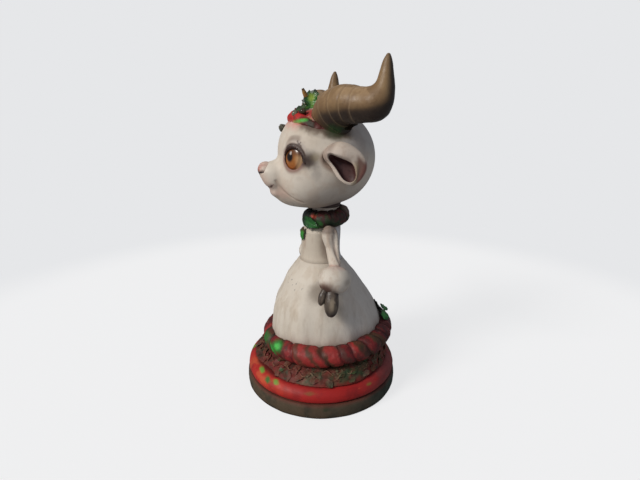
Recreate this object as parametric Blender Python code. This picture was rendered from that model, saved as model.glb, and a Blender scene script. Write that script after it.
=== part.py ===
"""Painted goat doll on a round base: big turning head with swept horns and a leafy crown,
bell-shaped gown with a lobed hem garland, collar garland, and two arms that swing at the shoulder.

Frame: +Z up, origin at the centre of the underside of the felt pad, the goat looks along -Y,
so its own left side is +X.  Lengths below are in millimetres and become metres through MM.
"""
import bpy
import bmesh
import math
import numpy as np
from mathutils import Vector

for _o in list(bpy.data.objects):
    bpy.data.objects.remove(_o, do_unlink=True)

MM = 0.001

# ---- driving dimensions (mm) -------------------------------------------------
GAP = 0.3                 # glue line or air gap between neighbouring pieces
SEAT_GAP = GAP + 0.04     # clearance where a piece is trimmed to a curved neighbour
AXIS_Y = 3.2              # tie rod and neck axis
FELT_R, FELT_T = 46.0, 1.0
PLINTH_R, PLINTH_BOTTOM, PLINTH_TOP = 50.0, 0.35, 9.2
DOME_R, DOME_BOTTOM, DOME_TOP = 49.0, 9.5, 18.3
ROD_R, ROD_HOLE = 1.6, 2.1
ROD_BOTTOM, ROD_TOP = 1.9, 128.4
ROD_FIT = 1.9             # bore of the nuts and washers
NUT_R = 3.6
SCREW_R, SCREW_HOLE, SCREW_HEAD_R, SCREW_CIRCLE = 1.4, 1.75, 3.0, 30.0
GOWN_WALL = 1.8
HEM_Y, HEM_Z, HEM_RING, HEM_TUBE = 4.3, 34.0, 36.7, 6.5
HEM_TILT = math.radians(4.0)
HEM_LOBES = 26
COLLAR_Z, COLLAR_RING, COLLAR_TUBE = 111.4, 9.3, 5.6
COLLAR_TILT = math.radians(6.0)
NECK_BOTTOM, NECK_SHOULDER, NECK_TOP = 112.5, 117.9, 122.6
NECK_R, SPIGOT_R = 8.7, 5.0
BUSH_BORE, BUSH_R, BUSH_TOP = 5.07, 6.2, 121.6
HEAD_SEAT = 118.2         # flat ring under the head that rides on the neck shoulder
HEAD_MIDDLE = np.array((0.0, -2.0, 143.0))
EYE = np.array((16.4, -21.1, 148.9))
EYE_DIR = (0.60, -0.80, 0.03)
EYE_RX, EYE_RZ, EYE_RD = 7.0, 7.4, 3.0
EYE_SINK = 2.4            # depth of the eye centre below the head surface
SHOULDER_X, SHOULDER_Z = 17.2, 104.0
PIN_R, PIN_BORE, PIN_END = 0.9, 0.98, 18.2
SHOULDER_BUSH_R, SLEEVE_BORE = 1.9, 2.2

# ---- finishes: red, green, blue, roughness, metallic ---------------------------
FELT = (0.03, 0.07, 0.045, 0.95, 0.0)
BROWN = (0.085, 0.075, 0.055, 0.8, 0.0)
DOME_RED = (0.48, 0.03, 0.025, 0.45, 0.0)
HEM_RED = (0.48, 0.03, 0.025, 0.5, 0.0)
COLLAR_RED = (0.2, 0.02, 0.02, 0.5, 0.0)
CROWN_RED = (0.4, 0.04, 0.03, 0.5, 0.0)
BERRY_RED = (0.5, 0.02, 0.02, 0.3, 0.0)
WHITE = (0.62, 0.56, 0.48, 0.6, 0.0)
CREAM = (0.66, 0.58, 0.50, 0.55, 0.0)
FOLIAGE_BROWN = (0.12, 0.06, 0.03, 0.7, 0.0)
GREEN = (0.03, 0.22, 0.04, 0.5, 0.0)
GLOSSY_GREEN = (0.03, 0.22, 0.04, 0.45, 0.0)
CHEST_GREEN = (0.06, 0.2, 0.04, 0.5, 0.0)
OLIVE = (0.05, 0.06, 0.03, 0.55, 0.0)
DARK_GREEN = (0.015, 0.07, 0.02, 0.45, 0.0)
DEEP_GREEN = (0.02, 0.1, 0.03, 0.45, 0.0)
CURL_BROWN = (0.1, 0.06, 0.04, 0.5, 0.0)
TWIG_BROWN = (0.3, 0.17, 0.08, 0.6, 0.0)
CONE_BROWN = (0.13, 0.12, 0.09, 0.7, 0.0)
EYE_AMBER = (0.3, 0.12, 0.03, 0.1, 0.0)
LID_BROWN = (0.06, 0.025, 0.02, 0.5, 0.0)
EAR_TAN = (0.5, 0.38, 0.3, 0.6, 0.0)
NOSE_PINK = (0.5, 0.25, 0.22, 0.4, 0.0)
HORN_BROWN = (0.24, 0.15, 0.07, 0.5, 0.0)
PEG_WOOD = (0.45, 0.3, 0.15, 0.6, 0.0)
HOOF_BROWN = (0.13, 0.1, 0.08, 0.4, 0.0)
TOE_BROWN = (0.1, 0.08, 0.07, 0.4, 0.0)
WASHER_BROWN = (0.25, 0.12, 0.06, 0.8, 0.0)
SCREW_STEEL = (0.55, 0.54, 0.5, 0.3, 1.0)
ROD_STEEL = (0.5, 0.5, 0.5, 0.3, 1.0)
WASHER_STEEL = (0.55, 0.55, 0.55, 0.35, 1.0)
PIN_STEEL = (0.6, 0.6, 0.6, 0.25, 1.0)
NUT_BRASS = (0.5, 0.47, 0.36, 0.35, 1.0)
BUSH_BRASS = (0.55, 0.4, 0.15, 0.35, 1.0)


# ---- objects and cuts; a shape is (vertices in mm, faces) ----------------------
SHAPES = {}               # piece name -> its shape before any cut
PIVOTS = {}               # group -> empty on the joint axis
CUTTERS = []
GROWN_CUTTERS = {}        # piece name -> cutter that clears it


def material(name, finish):
    *rgb, roughness, metallic = finish
    mat = bpy.data.materials.new(name)
    mat.use_nodes = True
    inputs = mat.node_tree.nodes["Principled BSDF"].inputs
    inputs["Base Color"].default_value = (*rgb, 1.0)
    inputs["Roughness"].default_value = roughness
    inputs["Metallic"].default_value = metallic
    mat.diffuse_color = (*rgb, 1.0)
    return mat


def outward_bmesh(points, faces):
    """BMesh with its faces pointing outward."""
    bm = bmesh.new()
    verts = [bm.verts.new(p) for p in points]
    for face in faces:
        bm.faces.new([verts[i] for i in face])
    bmesh.ops.recalc_face_normals(bm, faces=bm.faces[:])
    bm.normal_update()
    return bm


def add_mesh_object(name, shape, offset=Vector((0, 0, 0))):
    points, faces = shape
    bm = outward_bmesh([Vector(p) * MM - offset for p in points], faces)
    mesh = bpy.data.meshes.new(name)
    bm.to_mesh(mesh)
    bm.free()
    obj = bpy.data.objects.new(name, mesh)
    bpy.context.scene.collection.objects.link(obj)
    return obj


def pivot(group, place):
    empty = bpy.data.objects.new("pivot_" + group, None)
    empty.empty_display_size = 0.01
    empty.location = Vector(place) * MM
    bpy.context.scene.collection.objects.link(empty)
    PIVOTS[group] = empty


def solid(name, shape, finish, group=None, sharp=35):
    """Visible piece; edges steeper than `sharp` degrees stay crisp."""
    offset = PIVOTS[group].location.copy() if group else Vector((0, 0, 0))
    obj = add_mesh_object(name, shape, offset)
    obj.data.shade_smooth()
    obj.data.set_sharp_from_angle(angle=math.radians(sharp))
    obj.data.materials.append(material(name + "_mat", finish))
    if group:
        obj.parent = PIVOTS[group]
    SHAPES[name] = shape
    return obj


def cutter(shape):
    obj = add_mesh_object("cutter_%02d" % (len(CUTTERS) + 1), shape)
    obj.hide_render = True
    obj.display_type = "WIRE"
    CUTTERS.append(obj)
    return obj


def cut(obj, *cutters):
    for tool in cutters:
        mod = obj.modifiers.new("cut_" + tool.name, "BOOLEAN")
        mod.operation = "DIFFERENCE"
        mod.solver = "EXACT"
        mod.object = tool


def grown(shape):
    """The same closed shape pushed outward by SEAT_GAP along its vertex normals."""
    points, faces = shape
    bm = outward_bmesh(points, faces)
    pushed = [tuple(v.co + v.normal * SEAT_GAP) for v in bm.verts]
    bm.free()
    return pushed, faces


def seat(obj, *names):
    """Trim obj where it would run into the named neighbours."""
    for name in names:
        if name not in GROWN_CUTTERS:
            GROWN_CUTTERS[name] = cutter(grown(SHAPES[name]))
        cut(obj, GROWN_CUTTERS[name])


# ---- shapes --------------------------------------------------------------------
def unit(vector):
    vector = np.asarray(vector, float)
    return vector / np.linalg.norm(vector)


def on_side(side, shape):
    """Shapes are drawn for the left (+X) side; the right one is mirrored."""
    if side == "left":
        return shape
    points, faces = shape
    return [(-x, y, z) for x, y, z in points], [face[::-1] for face in faces]


def loft(rings, loop=False):
    """Skin over rings, capped at both ends, or closed on itself as a loop."""
    size, count = len(rings[0]), len(rings)
    points = [tuple(p) for r in rings for p in r]
    faces = []
    for i in range(count if loop else count - 1):
        here, there = i * size, ((i + 1) % count) * size
        for j in range(size):
            k = (j + 1) % size
            faces.append((here + j, here + k, there + k, there + j))
    if not loop:
        faces.append(tuple(range(size)))
        faces.append(tuple((count - 1) * size + j for j in range(size)))
    return points, faces


def ring(z, radius_x, segments, cx=0.0, cy=0.0, radius_y=None):
    radius_y = radius_x if radius_y is None else radius_y
    return [(cx + radius_x * math.cos(2 * math.pi * j / segments),
             cy + radius_y * math.sin(2 * math.pi * j / segments), z) for j in range(segments)]


def lathe(profile, segments, cx=0.0, cy=0.0, loop=False):
    """Turned solid: profile is (radius, z) pairs; a loop leaves a bore."""
    return loft([ring(z, radius, segments, cx, cy) for radius, z in profile], loop)


def cylinder(radius, bottom, top, segments, cx=0.0, cy=0.0):
    return lathe([(radius, bottom), (radius, top)], segments, cx, cy)


def tube(bore, radius, bottom, top, segments):
    """Washer, nut or bush on the tie rod axis."""
    profile = [(bore, bottom), (radius, bottom), (radius, top), (bore, top)]
    return lathe(profile, segments, cy=AXIS_Y, loop=True)


def shoulder_rod(x0, x1, radius, segments, bore=None):
    """Rod, or tube if a bore is given, along X on the shoulder axis."""
    stations = [(x0, radius), (x1, radius)]
    if bore:
        stations += [(x1, bore), (x0, bore)]
    rings = []
    for x, r in stations:
        angles = [2 * math.pi * j / segments for j in range(segments)]
        rings.append([(x, r * math.cos(a), SHOULDER_Z + r * math.sin(a)) for a in angles])
    return loft(rings, loop=bool(bore))


def blob(centre, radii, axes=((1, 0, 0), (0, 1, 0), (0, 0, 1)), around=16, down=10):
    """Closed ellipsoid; radii run along the three axes, poles on the third."""
    frame = np.array([unit(axis) for axis in axes])

    def point(turn, drop):
        p = np.array([math.sin(drop) * math.cos(turn), math.sin(drop) * math.sin(turn),
                      math.cos(drop)]) * radii
        return tuple(np.asarray(centre) + p @ frame)

    points = [point(0, 0)]
    for i in range(1, down):
        for j in range(around):
            points.append(point(2 * math.pi * j / around, math.pi * i / down))
    points.append(point(0, math.pi))
    faces = [(0, 1 + j, 1 + (j + 1) % around) for j in range(around)]
    for i in range(down - 2):
        upper, lower = 1 + i * around, 1 + (i + 1) * around
        for j in range(around):
            k = (j + 1) % around
            faces.append((upper + j, lower + j, lower + k, upper + k))
    last, upper = len(points) - 1, 1 + (down - 2) * around
    for j in range(around):
        faces.append((upper + j, last, upper + (j + 1) % around))
    return points, faces


def spline(rows):
    """Catmull-Rom through rows (x, y, z, radius), two steps to a span."""
    P = np.asarray(rows, float)
    P = np.vstack([2 * P[0] - P[1], P, 2 * P[-1] - P[-2]])
    path = []
    for i in range(1, len(P) - 2):
        a, b, c, d = P[i - 1:i + 3]
        for t in (0.0, 0.5):
            path.append(0.5 * (2 * b + (c - a) * t + (2 * a - 5 * b + 4 * c - d) * t * t
                               + (3 * b - a - 3 * c + d) * t ** 3))
    path.append(P[-2])
    return np.array(path)


def sweep(path, segments, loop=False):
    """Round bar along path rows (x, y, z, radius)."""
    path = np.array(path, float)
    centres, radii = path[:, :3], path[:, 3]
    if loop:
        tangents = np.roll(centres, -1, 0) - np.roll(centres, 1, 0)
    else:
        tangents = np.gradient(centres, axis=0)
    tangents /= np.linalg.norm(tangents, axis=1)[:, None]
    across = np.cross(tangents[0], (0.0, 0.0, 1.0))
    if np.linalg.norm(across) < 1e-3:      # the path starts out vertical
        across = np.cross(tangents[0], (0.0, 1.0, 0.0))
    rings = []
    for centre, radius, tangent in zip(centres, radii, tangents):
        if loop:
            across = np.cross(tangent, (0.0, 0.0, 1.0))
        across = across - tangent * (across @ tangent)
        across /= np.linalg.norm(across)
        over = np.cross(tangent, across)
        angles = [2 * math.pi * j / segments for j in range(segments)]
        rings.append([tuple(centre + radius * (math.cos(a) * across + math.sin(a) * over))
                      for a in angles])
    return loft(rings, loop)


def wreath(radius, cy, cz, tilt, steps, tube_radii, segments):
    """Level ring of bar, raised toward the back by tilt; the two tube radii alternate."""
    path = []
    for i in range(steps):
        angle = 2 * math.pi * i / steps
        back = radius * math.sin(angle)
        path.append((radius * math.cos(angle), cy + back, cz + back * math.tan(tilt),
                     tube_radii[i % 2]))
    return sweep(path, segments, loop=True)


def leaf(base, tip, normal, width, thick, curl, toothed=True, stations=9):
    """Thin closed leaf from base to tip, edges cupped toward normal, optionally toothed."""
    cup = 0.12
    base = np.asarray(base, float)
    along = np.asarray(tip, float) - base
    length = np.linalg.norm(along)
    along /= length
    normal = np.asarray(normal, float)
    up = unit(normal - along * (normal @ along))
    side = np.cross(along, up)
    rings = []
    for i in range(stations):
        s = i / (stations - 1)
        half = width * 0.5 * max(0.10, math.sin(math.pi * (0.08 + 0.92 * s) ** 0.8))
        if toothed and 0 < i < stations - 1:
            half *= 1.22 if i % 2 else 0.84
        depth = thick * 0.5 * (0.55 + 0.45 * math.sin(math.pi * s))
        mid = base + along * (length * s) + up * (curl * length * s * s)
        # (sideways, upward) corners of the cross-section
        section = ((half, cup * half), (half * .5, depth), (0, depth - cup * half * .4),
                   (-half * .5, depth), (-half, cup * half), (-half * .5, -depth),
                   (0, -depth - cup * half * .4), (half * .5, -depth))
        rings.append([tuple(mid + side * a + up * b) for a, b in section])
    return loft(rings)


# ---- base: felt pad, plinth and dome held by three screws ----------------------
solid("felt_pad", cylinder(FELT_R, 0, FELT_T, 40), FELT)
plinth = solid("plinth", lathe([(49.5, PLINTH_BOTTOM), (PLINTH_R - 0.05, 1.4), (PLINTH_R, 5.0),
                                (PLINTH_R - 0.2, 8.0), (PLINTH_R - 1.4, PLINTH_TOP)], 40), BROWN)
base_dome = solid("base_dome", lathe([(48.3, DOME_BOTTOM), (DOME_R, 10.6), (DOME_R, 12.4),
                                      (48.3, 14.6), (46.9, 16.4), (45.2, 17.6),
                                      (43.2, DOME_TOP)], 40), DOME_RED)
BORE_START = 0.5          # all bores start below the roof of the felt recess
rod_bore = cutter(cylinder(ROD_HOLE, BORE_START, 25, 12, cy=AXIS_Y))
felt_recess = cutter(cylinder(FELT_R + GAP, -0.5, FELT_T + GAP, 40))
nut_pocket = cutter(cylinder(5.4, BORE_START, 5.9, 16, cy=AXIS_Y))
cut(plinth, felt_recess, rod_bore, nut_pocket)
cut(base_dome, rod_bore)


def base_screw(number, x, y):
    hole = cutter(cylinder(SCREW_HOLE, BORE_START, 15.8, 10, x, y))
    head_pocket = cutter(cylinder(SCREW_HEAD_R + 0.4, BORE_START, 3.9, 12, x, y))
    cut(plinth, hole, head_pocket)
    cut(base_dome, hole)
    profile = [(SCREW_HEAD_R, 1.6), (SCREW_HEAD_R, 2.1), (SCREW_R, 3.7), (SCREW_R, 14.0),
               (0.4, 15.4)]
    screw = solid("base_screw_%d" % number, lathe(profile, 10, x, y), SCREW_STEEL)
    reach, half = 4, 0.35      # driver slot: half length and half width
    cut(screw, cutter(loft([[(x - reach, y - half, z), (x + reach, y - half, z),
                             (x + reach, y + half, z), (x - reach, y + half, z)]
                            for z in (1.2, 2.0)])))


for i in range(3):
    angle = math.radians(90 + 120 * i)
    base_screw(i + 1, SCREW_CIRCLE * math.cos(angle), SCREW_CIRCLE * math.sin(angle))

# ---- gown: hollow bell that reaches further at the back than at the front -------
# rows: height, half-width, front reach (-Y), back reach (+Y)
GOWN_ROWS = (
    (18.6, 34.6, 32.2, 42.4), (30.0, 34.6, 32.8, 42.4), (36.0, 34.2, 33.0, 41.8),
    (43.0, 33.2, 32.5, 39.6), (50.0, 32.2, 31.6, 36.8), (57.0, 30.0, 29.8, 33.0),
    (65.3, 25.9, 25.7, 27.7), (73.7, 21.8, 22.0, 22.2), (80.0, 17.2, 17.4, 17.0),
    (84.0, 14.0, 14.2, 13.8))
GOWN_CEILING = (81.9, 15.7, 15.9, 15.4)    # outline at the underside of the top
GOWN_INNER_ROWS = (8, 7, 6, 4, 2, 0)       # rows the cavity follows, top down
GOWN_SEGMENTS = 30


def gown_ring(row, inset=0.0, segments=GOWN_SEGMENTS):
    z, half_width, front, back = row
    return ring(z, half_width - inset, segments, cy=(back - front) / 2,
                radius_y=(back + front) / 2 - inset)


gown_outer = [gown_ring(row) for row in GOWN_ROWS]
gown_hole = [ring(row[0], ROD_HOLE, GOWN_SEGMENTS, cy=AXIS_Y)
             for row in (GOWN_ROWS[-1], GOWN_CEILING)]
gown_inner = [gown_ring(row, GOWN_WALL)
              for row in (GOWN_CEILING, *(GOWN_ROWS[i] for i in GOWN_INNER_ROWS))]
solid("gown", loft(gown_outer + gown_hole + gown_inner, loop=True), WHITE, sharp=50)
# filled gown with clearance, carried down below its edge
GOWN_CLEARANCE = loft([gown_ring(row, -SEAT_GAP)
                       for row in ((10.0, *GOWN_ROWS[0][1:]), *GOWN_ROWS)])

# ---- hem garland: fat lobed roll laid round the lower gown ---------------------
hem = solid("hem_garland", wreath(HEM_RING, HEM_Y, HEM_Z, HEM_TILT, HEM_LOBES * 2,
                                  (HEM_TUBE * 0.90, HEM_TUBE), 8), HEM_RED, sharp=60)
cut(hem, cutter(GOWN_CLEARANCE))

# ---- foliage: rough ring between the dome and the hem garland -------------------
FOLIAGE_R = 45.2
FOLIAGE_INSET = 0.6       # room left round the gown
FOLIAGE_TOP = 27.0
FOLIAGE_INWARD = (0.0, 0.0, 0.10, 0.32, 0.60, 0.90, 1.0, 1.0)   # 0 outer edge, 1 gown side


def foliage_edge(angle):
    """Wavy outer radius with a dent at the front left and one at the back right."""
    wave = 0.5 * math.sin(7 * angle + 1.0) - 0.4 * math.cos(11 * angle)
    front_dent = 3.4 * math.exp(-((angle + 1.22) / 0.5) ** 2)
    back_dent = 1.8 * math.exp(-((angle - 2.2) / 0.6) ** 2)
    return FOLIAGE_R + wave - (front_dent + back_dent)


def foliage_height(k, inward, radius, angle):
    """Height of profile point k; the first and last lie flat over the dome."""
    floor = DOME_TOP + GAP
    if k in (0, len(FOLIAGE_INWARD) - 1):
        return floor
    hem_z = HEM_Z + (radius * math.sin(angle) - HEM_Y) * math.tan(HEM_TILT)
    top = min(FOLIAGE_TOP, hem_z - HEM_TUBE - 0.7)
    rough = 0.45 * math.sin(9 * angle + 3 * k) + 0.35 * math.cos(14 * angle - 2 * k)
    z = floor + 0.9 + (top - floor - 0.9) * min(1.0, inward * 1.25) ** 0.8
    z += rough * math.sin(math.pi * min(0.85, inward + 0.15))
    return min(z, top + 0.3)


foliage = []
for k, inward in enumerate(FOLIAGE_INWARD):
    points = []
    for x, y, _ in gown_ring(GOWN_ROWS[0], -FOLIAGE_INSET, 40):
        angle = math.atan2(y, x)
        outer = foliage_edge(angle)
        radius = outer + (math.hypot(x, y) - outer) * inward
        points.append((radius * math.cos(angle), radius * math.sin(angle),
                       foliage_height(k, inward, radius, angle)))
    foliage.append(points)
solid("foliage_ring", loft(foliage, loop=True), FOLIAGE_BROWN, sharp=30)

# ---- bodice, neck and collar ---------------------------------------------------
# rows: height, radius, centre y
BODICE_ROWS = ((84.3, 13.6, -0.2), (87.0, 12.5, -0.3), (95.0, 12.3, -0.3), (103.0, 12.3, 0.2),
               (106.2, 11.0, 1.4), (108.6, 9.4, 2.6), (112.2, 8.9, AXIS_Y))


def bodice_rings(rows, grow=0.0):
    return [ring(z, radius + grow, 24, cy=cy) for z, radius, cy in rows]


bodice_bore = [ring(BODICE_ROWS[i][0], ROD_HOLE, 24, cy=AXIS_Y) for i in (-1, 0)]
bodice = solid("bodice", loft(bodice_rings(BODICE_ROWS) + bodice_bore, loop=True), WHITE)
cut(bodice, cutter(shoulder_rod(-20, 20, PIN_R + GAP, 12)))

solid("neck", lathe([(8.6, NECK_BOTTOM), (NECK_R, 115.0), (8.3, NECK_SHOULDER),
                     (SPIGOT_R, NECK_SHOULDER), (SPIGOT_R, NECK_TOP), (ROD_HOLE, NECK_TOP),
                     (ROD_HOLE, NECK_BOTTOM)], 32, cy=AXIS_Y, loop=True), CREAM)

collar = solid("collar_garland", wreath(COLLAR_RING, AXIS_Y, COLLAR_Z, COLLAR_TILT, 22,
                                        (COLLAR_TUBE, COLLAR_TUBE * 0.92), 9),
               COLLAR_RED, sharp=60)
neck_clearance = lathe([(8.9 + GAP, 99.0), (8.95 + GAP, 108.6), (9.0 + GAP, 112.4),
                        (9.1 + GAP, 125.0)], 24, cy=AXIS_Y)
upper_bodice = loft(bodice_rings(((99.0, 12.3, -0.1),) + BODICE_ROWS[3:], 0.4))
cut(collar, cutter(neck_clearance), cutter(upper_bodice))

# ---- clamp: one rod through everything, and the shoulder pin --------------------
solid("tie_rod", cylinder(ROD_R, ROD_BOTTOM, ROD_TOP, 12, cy=AXIS_Y), ROD_STEEL)
solid("rod_nut", tube(ROD_FIT, NUT_R, 2.5, 4.6, 12), NUT_BRASS)
solid("rod_washer", tube(ROD_FIT, 5.0, 4.9, 5.6, 14), WASHER_STEEL)
solid("head_washer", tube(ROD_FIT, 8.6, 122.95, 123.7, 18), WASHER_BROWN)
solid("head_nut", tube(ROD_FIT, NUT_R, 124.0, 126.4, 12), NUT_BRASS)
solid("shoulder_pin", shoulder_rod(-PIN_END, PIN_END, PIN_R, 20), PIN_STEEL)

# ---- leaves on the collar, chest and back of the hem ----------------------------
collar_leaf = solid("collar_leaf", leaf((3.6, -12.6, 110.6), (14.0, -5.6, 107.6),
                                        (0.6, -0.8, 0.15), 8.5, 1.6, 0.05), GREEN)
seat(collar_leaf, "collar_garland")
chest_leaf = solid("chest_leaf", leaf((3.4, -11.6, 105.8), (3.4, -12.9, 97.2),
                                      (0.25, -1.0, 0.1), 4.8, 1.2, 0.0), CHEST_GREEN)
seat(chest_leaf, "collar_garland")
cut(chest_leaf, cutter(loft(bodice_rings(BODICE_ROWS, 0.4))))

# base, tip, normal, width, curl, finish
HEM_LEAVES = (
    ((9.0, 39.6, 45.2), (5.0, 35.4, 54.4), (0.15, 0.85, 0.5), 8.5, 0.05, OLIVE),
    ((17.0, 38.4, 44.6), (8.0, 42.6, 46.2), (0.2, 0.5, 0.8), 8.0, 0.05, GREEN),
    ((4.6, 43.6, 44.0), (-5.0, 46.8, 42.6), (0.1, 0.5, 0.8), 7.0, -0.05, GREEN))
hem_leaves = []
for i, (base, tip, normal, width, curl, finish) in enumerate(HEM_LEAVES):
    obj = solid("hem_leaf_%d" % (i + 1), leaf(base, tip, normal, width, 1.2, curl), finish)
    seat(obj, "hem_garland")
    cut(obj, cutter(GOWN_CLEARANCE))
    hem_leaves.append(obj)
for obj in hem_leaves[1:]:
    seat(obj, "hem_leaf_1")


# ---- head surface: rounded masses melted together -------------------------------
def ellipsoid_distance(p, centre, radii):
    """Approximate signed distance from points p to an ellipsoid, negative inside."""
    q = p - np.asarray(centre, float)
    radii = np.asarray(radii, float)
    scaled = np.linalg.norm(q / radii, axis=-1)
    slope = np.linalg.norm(q / (radii * radii), axis=-1)
    return scaled * (scaled - 1) / np.maximum(slope, 1e-9)


def blend(first, second, width):
    """Union of two distances, smoothed over width."""
    share = np.clip(0.5 + 0.5 * (second - first) / width, 0, 1)
    return second * (1 - share) + first * share - width * share * (1 - share)


def head_distance(p):
    folded = np.concatenate([np.abs(p[..., :1]), p[..., 1:]], -1)   # both cheeks as one
    skull = ellipsoid_distance(p, (0, 4.2, 147.6), (28.6, 28.3, 28.2))
    forehead = ellipsoid_distance(p, (0, -4.5, 153.5), (22.5, 20.0, 20.5))
    cheeks = ellipsoid_distance(folded, (10.5, -8.0, 134.8), (15.5, 16.5, 15.6))
    muzzle = ellipsoid_distance(p, (0, -22.0, 139.8), (8.8, 15.2, 7.0))
    jaw = ellipsoid_distance(p, (0, -13.0, 131.4), (12.0, 19.4, 14.0))
    seat_boss = np.maximum(np.hypot(p[..., 0], p[..., 1] - AXIS_Y) - 9.0,
                           np.abs(p[..., 2] - 123.0) - 4.9)
    head = blend(blend(skull, forehead, 8), cheeks, 6)
    head = blend(head, blend(muzzle, jaw, 5), 3.0)
    return blend(head, seat_boss, 1.5)


def head_reach(directions):
    """Distance from HEAD_MIDDLE to the outermost surface along each unit direction."""
    start, stop, steps = 60.0, 15.0, 181
    near, far = np.full(len(directions), stop), np.full(len(directions), start)
    for t in np.linspace(start, stop, steps):
        inside = head_distance(HEAD_MIDDLE + directions * t) < 0
        new = inside & (near == stop)
        near[new] = t
        far[new] = t + 0.25
    for _ in range(20):
        mid = (near + far) / 2
        inside = head_distance(HEAD_MIDDLE + directions * mid[:, None]) < 0
        near, far = np.where(inside, mid, near), np.where(inside, far, mid)
    return near


def head_shape(out=0.0):
    """Closed head surface, moved out from the middle by `out`."""
    points, faces = blob((0, 0, 0), (1, 1, 1), around=34, down=22)
    directions = np.array(points)
    reach = head_reach(directions) + out
    return [tuple(p) for p in HEAD_MIDDLE + directions * reach[:, None]], faces


def head_point(target, out=0.0):
    """Point on the head surface in line with target, moved out by `out`."""
    direction = unit(target - HEAD_MIDDLE)
    return HEAD_MIDDLE + direction * (head_reach(direction[None])[0] + out)


# ---- head shell: hollow, bored for the neck and socketed for the eyes ------------
pivot("head", (0, AXIS_Y, HEAD_SEAT))
shell = solid("head_shell", head_shape(), CREAM, group="head", sharp=60)
head_clearance = cutter(head_shape(out=0.42))

EYE_NORMAL = unit(EYE_DIR)
EYE_SIDE = unit(np.cross((0, 0, 1), EYE_NORMAL))
EYE_UP = np.cross(EYE_NORMAL, EYE_SIDE)
EYE_CENTRE = head_point(EYE) - EYE_SINK * EYE_NORMAL


def eye_blob(grow=0.0):
    return blob(EYE_CENTRE, (EYE_RX + grow, EYE_RZ + grow, EYE_RD + grow),
                (EYE_SIDE, EYE_UP, EYE_NORMAL), 16, 8)


cut(shell,
    cutter(blob((0, 3.6, 147.0), (23.4, 22.6, 22.2))),                    # cavity
    cutter(cylinder(9.3, 121.9, 134.0, 16, cy=AXIS_Y)),                   # washer pocket
    cutter(cylinder(BUSH_R + GAP, 105.0, 130.0, 20, cy=AXIS_Y)),          # bush bore
    cutter(cylinder(9.4, 100.0, HEAD_SEAT, 24, cy=AXIS_Y)),               # flat seat
    *(cutter(on_side(side, eye_blob(SEAT_GAP))) for side in ("left", "right")))
solid("neck_bush", tube(BUSH_BORE, BUSH_R, HEAD_SEAT + .1, BUSH_TOP, 32), BUSH_BRASS,
      group="head")


def head_part(name, shape, finish, *neighbours, sharp=35):
    """Piece that sits on the head, trimmed to the shell and to its neighbours."""
    obj = solid(name, shape, finish, group="head", sharp=sharp)
    cut(obj, head_clearance)
    seat(obj, *neighbours)
    return obj


# ---- eyes, lids, ears and horns --------------------------------------------------
def eyelid(side):
    """Dark roll arched over the eye."""
    path = []
    for k in range(11):
        angle = math.radians(-8 + 19.6 * k)
        target = (EYE + (EYE_RX + .5) * math.cos(angle) * EYE_SIDE
                  + (EYE_RZ + .4) * math.sin(angle) * EYE_UP)
        path.append((*head_point(target, 0.25), 0.9 + 0.5 * math.sin(math.pi * k / 10)))
    head_part("eyelid_" + side, on_side(side, sweep(path, 6)), LID_BROWN, "eye_" + side,
              sharp=60)


def ear(side):
    """Cupped shell, long toward the back and hollowed on its outward face."""
    along, outward = unit((0.38, 0.86, -0.34)), unit((0.86, -0.30, 0.20))
    across = unit(np.cross(along, outward))
    outward = unit(np.cross(across, along))
    axes = (along, outward, across)
    centre = np.array((33.0, 6.6, 148.0))
    obj = head_part("ear_" + side, on_side(side, blob(centre, (13.0, 5.6, 10.6), axes, 16, 9)),
                    EAR_TAN, sharp=60)
    hollow = blob(centre + 4.0 * outward - 1.0 * along - 1.2 * across, (9.6, 5.6, 7.4),
                  axes, 12, 7)
    cut(obj, cutter(on_side(side, hollow)))


# x, y, z, radius: out sideways and back, then straight up to a blunt tip
HORN_ROWS = (
    (9.6, 0.8, 166.2, 9.2), (13.6, 1.2, 170.8, 9.9), (20, 2.8, 175.0, 10.3),
    (28, 6.2, 177.0, 10.1), (35.4, 10.8, 176.1, 9.3), (42.0, 16.2, 175.5, 8.6),
    (46.0, 19.6, 178.7, 7.1), (46.7, 20.4, 184.5, 5.1), (46.9, 20.8, 190.4, 3.7),
    (47.0, 21.1, 195.8, 2.5), (47.0, 21.4, 199.5, 1.2))
PEG_START, PEG_END = np.array((12.0, 0.6, 165.4)), np.array((18.0, 2.2, 177.2))
PEG_R, PEG_HOLE = 1.5, 1.85


def horn(side):
    """Grooved horn and the peg that runs from it into the shell."""
    path = spline(HORN_ROWS)
    path[3:10:2, 3] *= 0.965      # four shallow grooves
    obj = head_part("horn_" + side, on_side(side, sweep(path, 12)), HORN_BROWN, sharp=60)
    peg = sweep([(*PEG_START, PEG_R), (*PEG_END, PEG_R)], 10)
    solid("horn_peg_" + side, on_side(side, peg), PEG_WOOD, group="head")
    length = PEG_END - PEG_START
    hole = cutter(on_side(side, sweep([(*(PEG_START - .3 * length), PEG_HOLE),
                                       (*(PEG_END + .06 * length), PEG_HOLE)], 10)))
    cut(obj, hole)
    cut(shell, hole)


for side in ("left", "right"):
    solid("eye_" + side, on_side(side, eye_blob()), EYE_AMBER, group="head", sharp=60)
    eyelid(side)
    ear(side)
    horn(side)

head_part("nose", blob((0, -35.0, 141.9), (3.9, 3.3, 3.7), around=12, down=7), NOSE_PINK,
          sharp=60)

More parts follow.
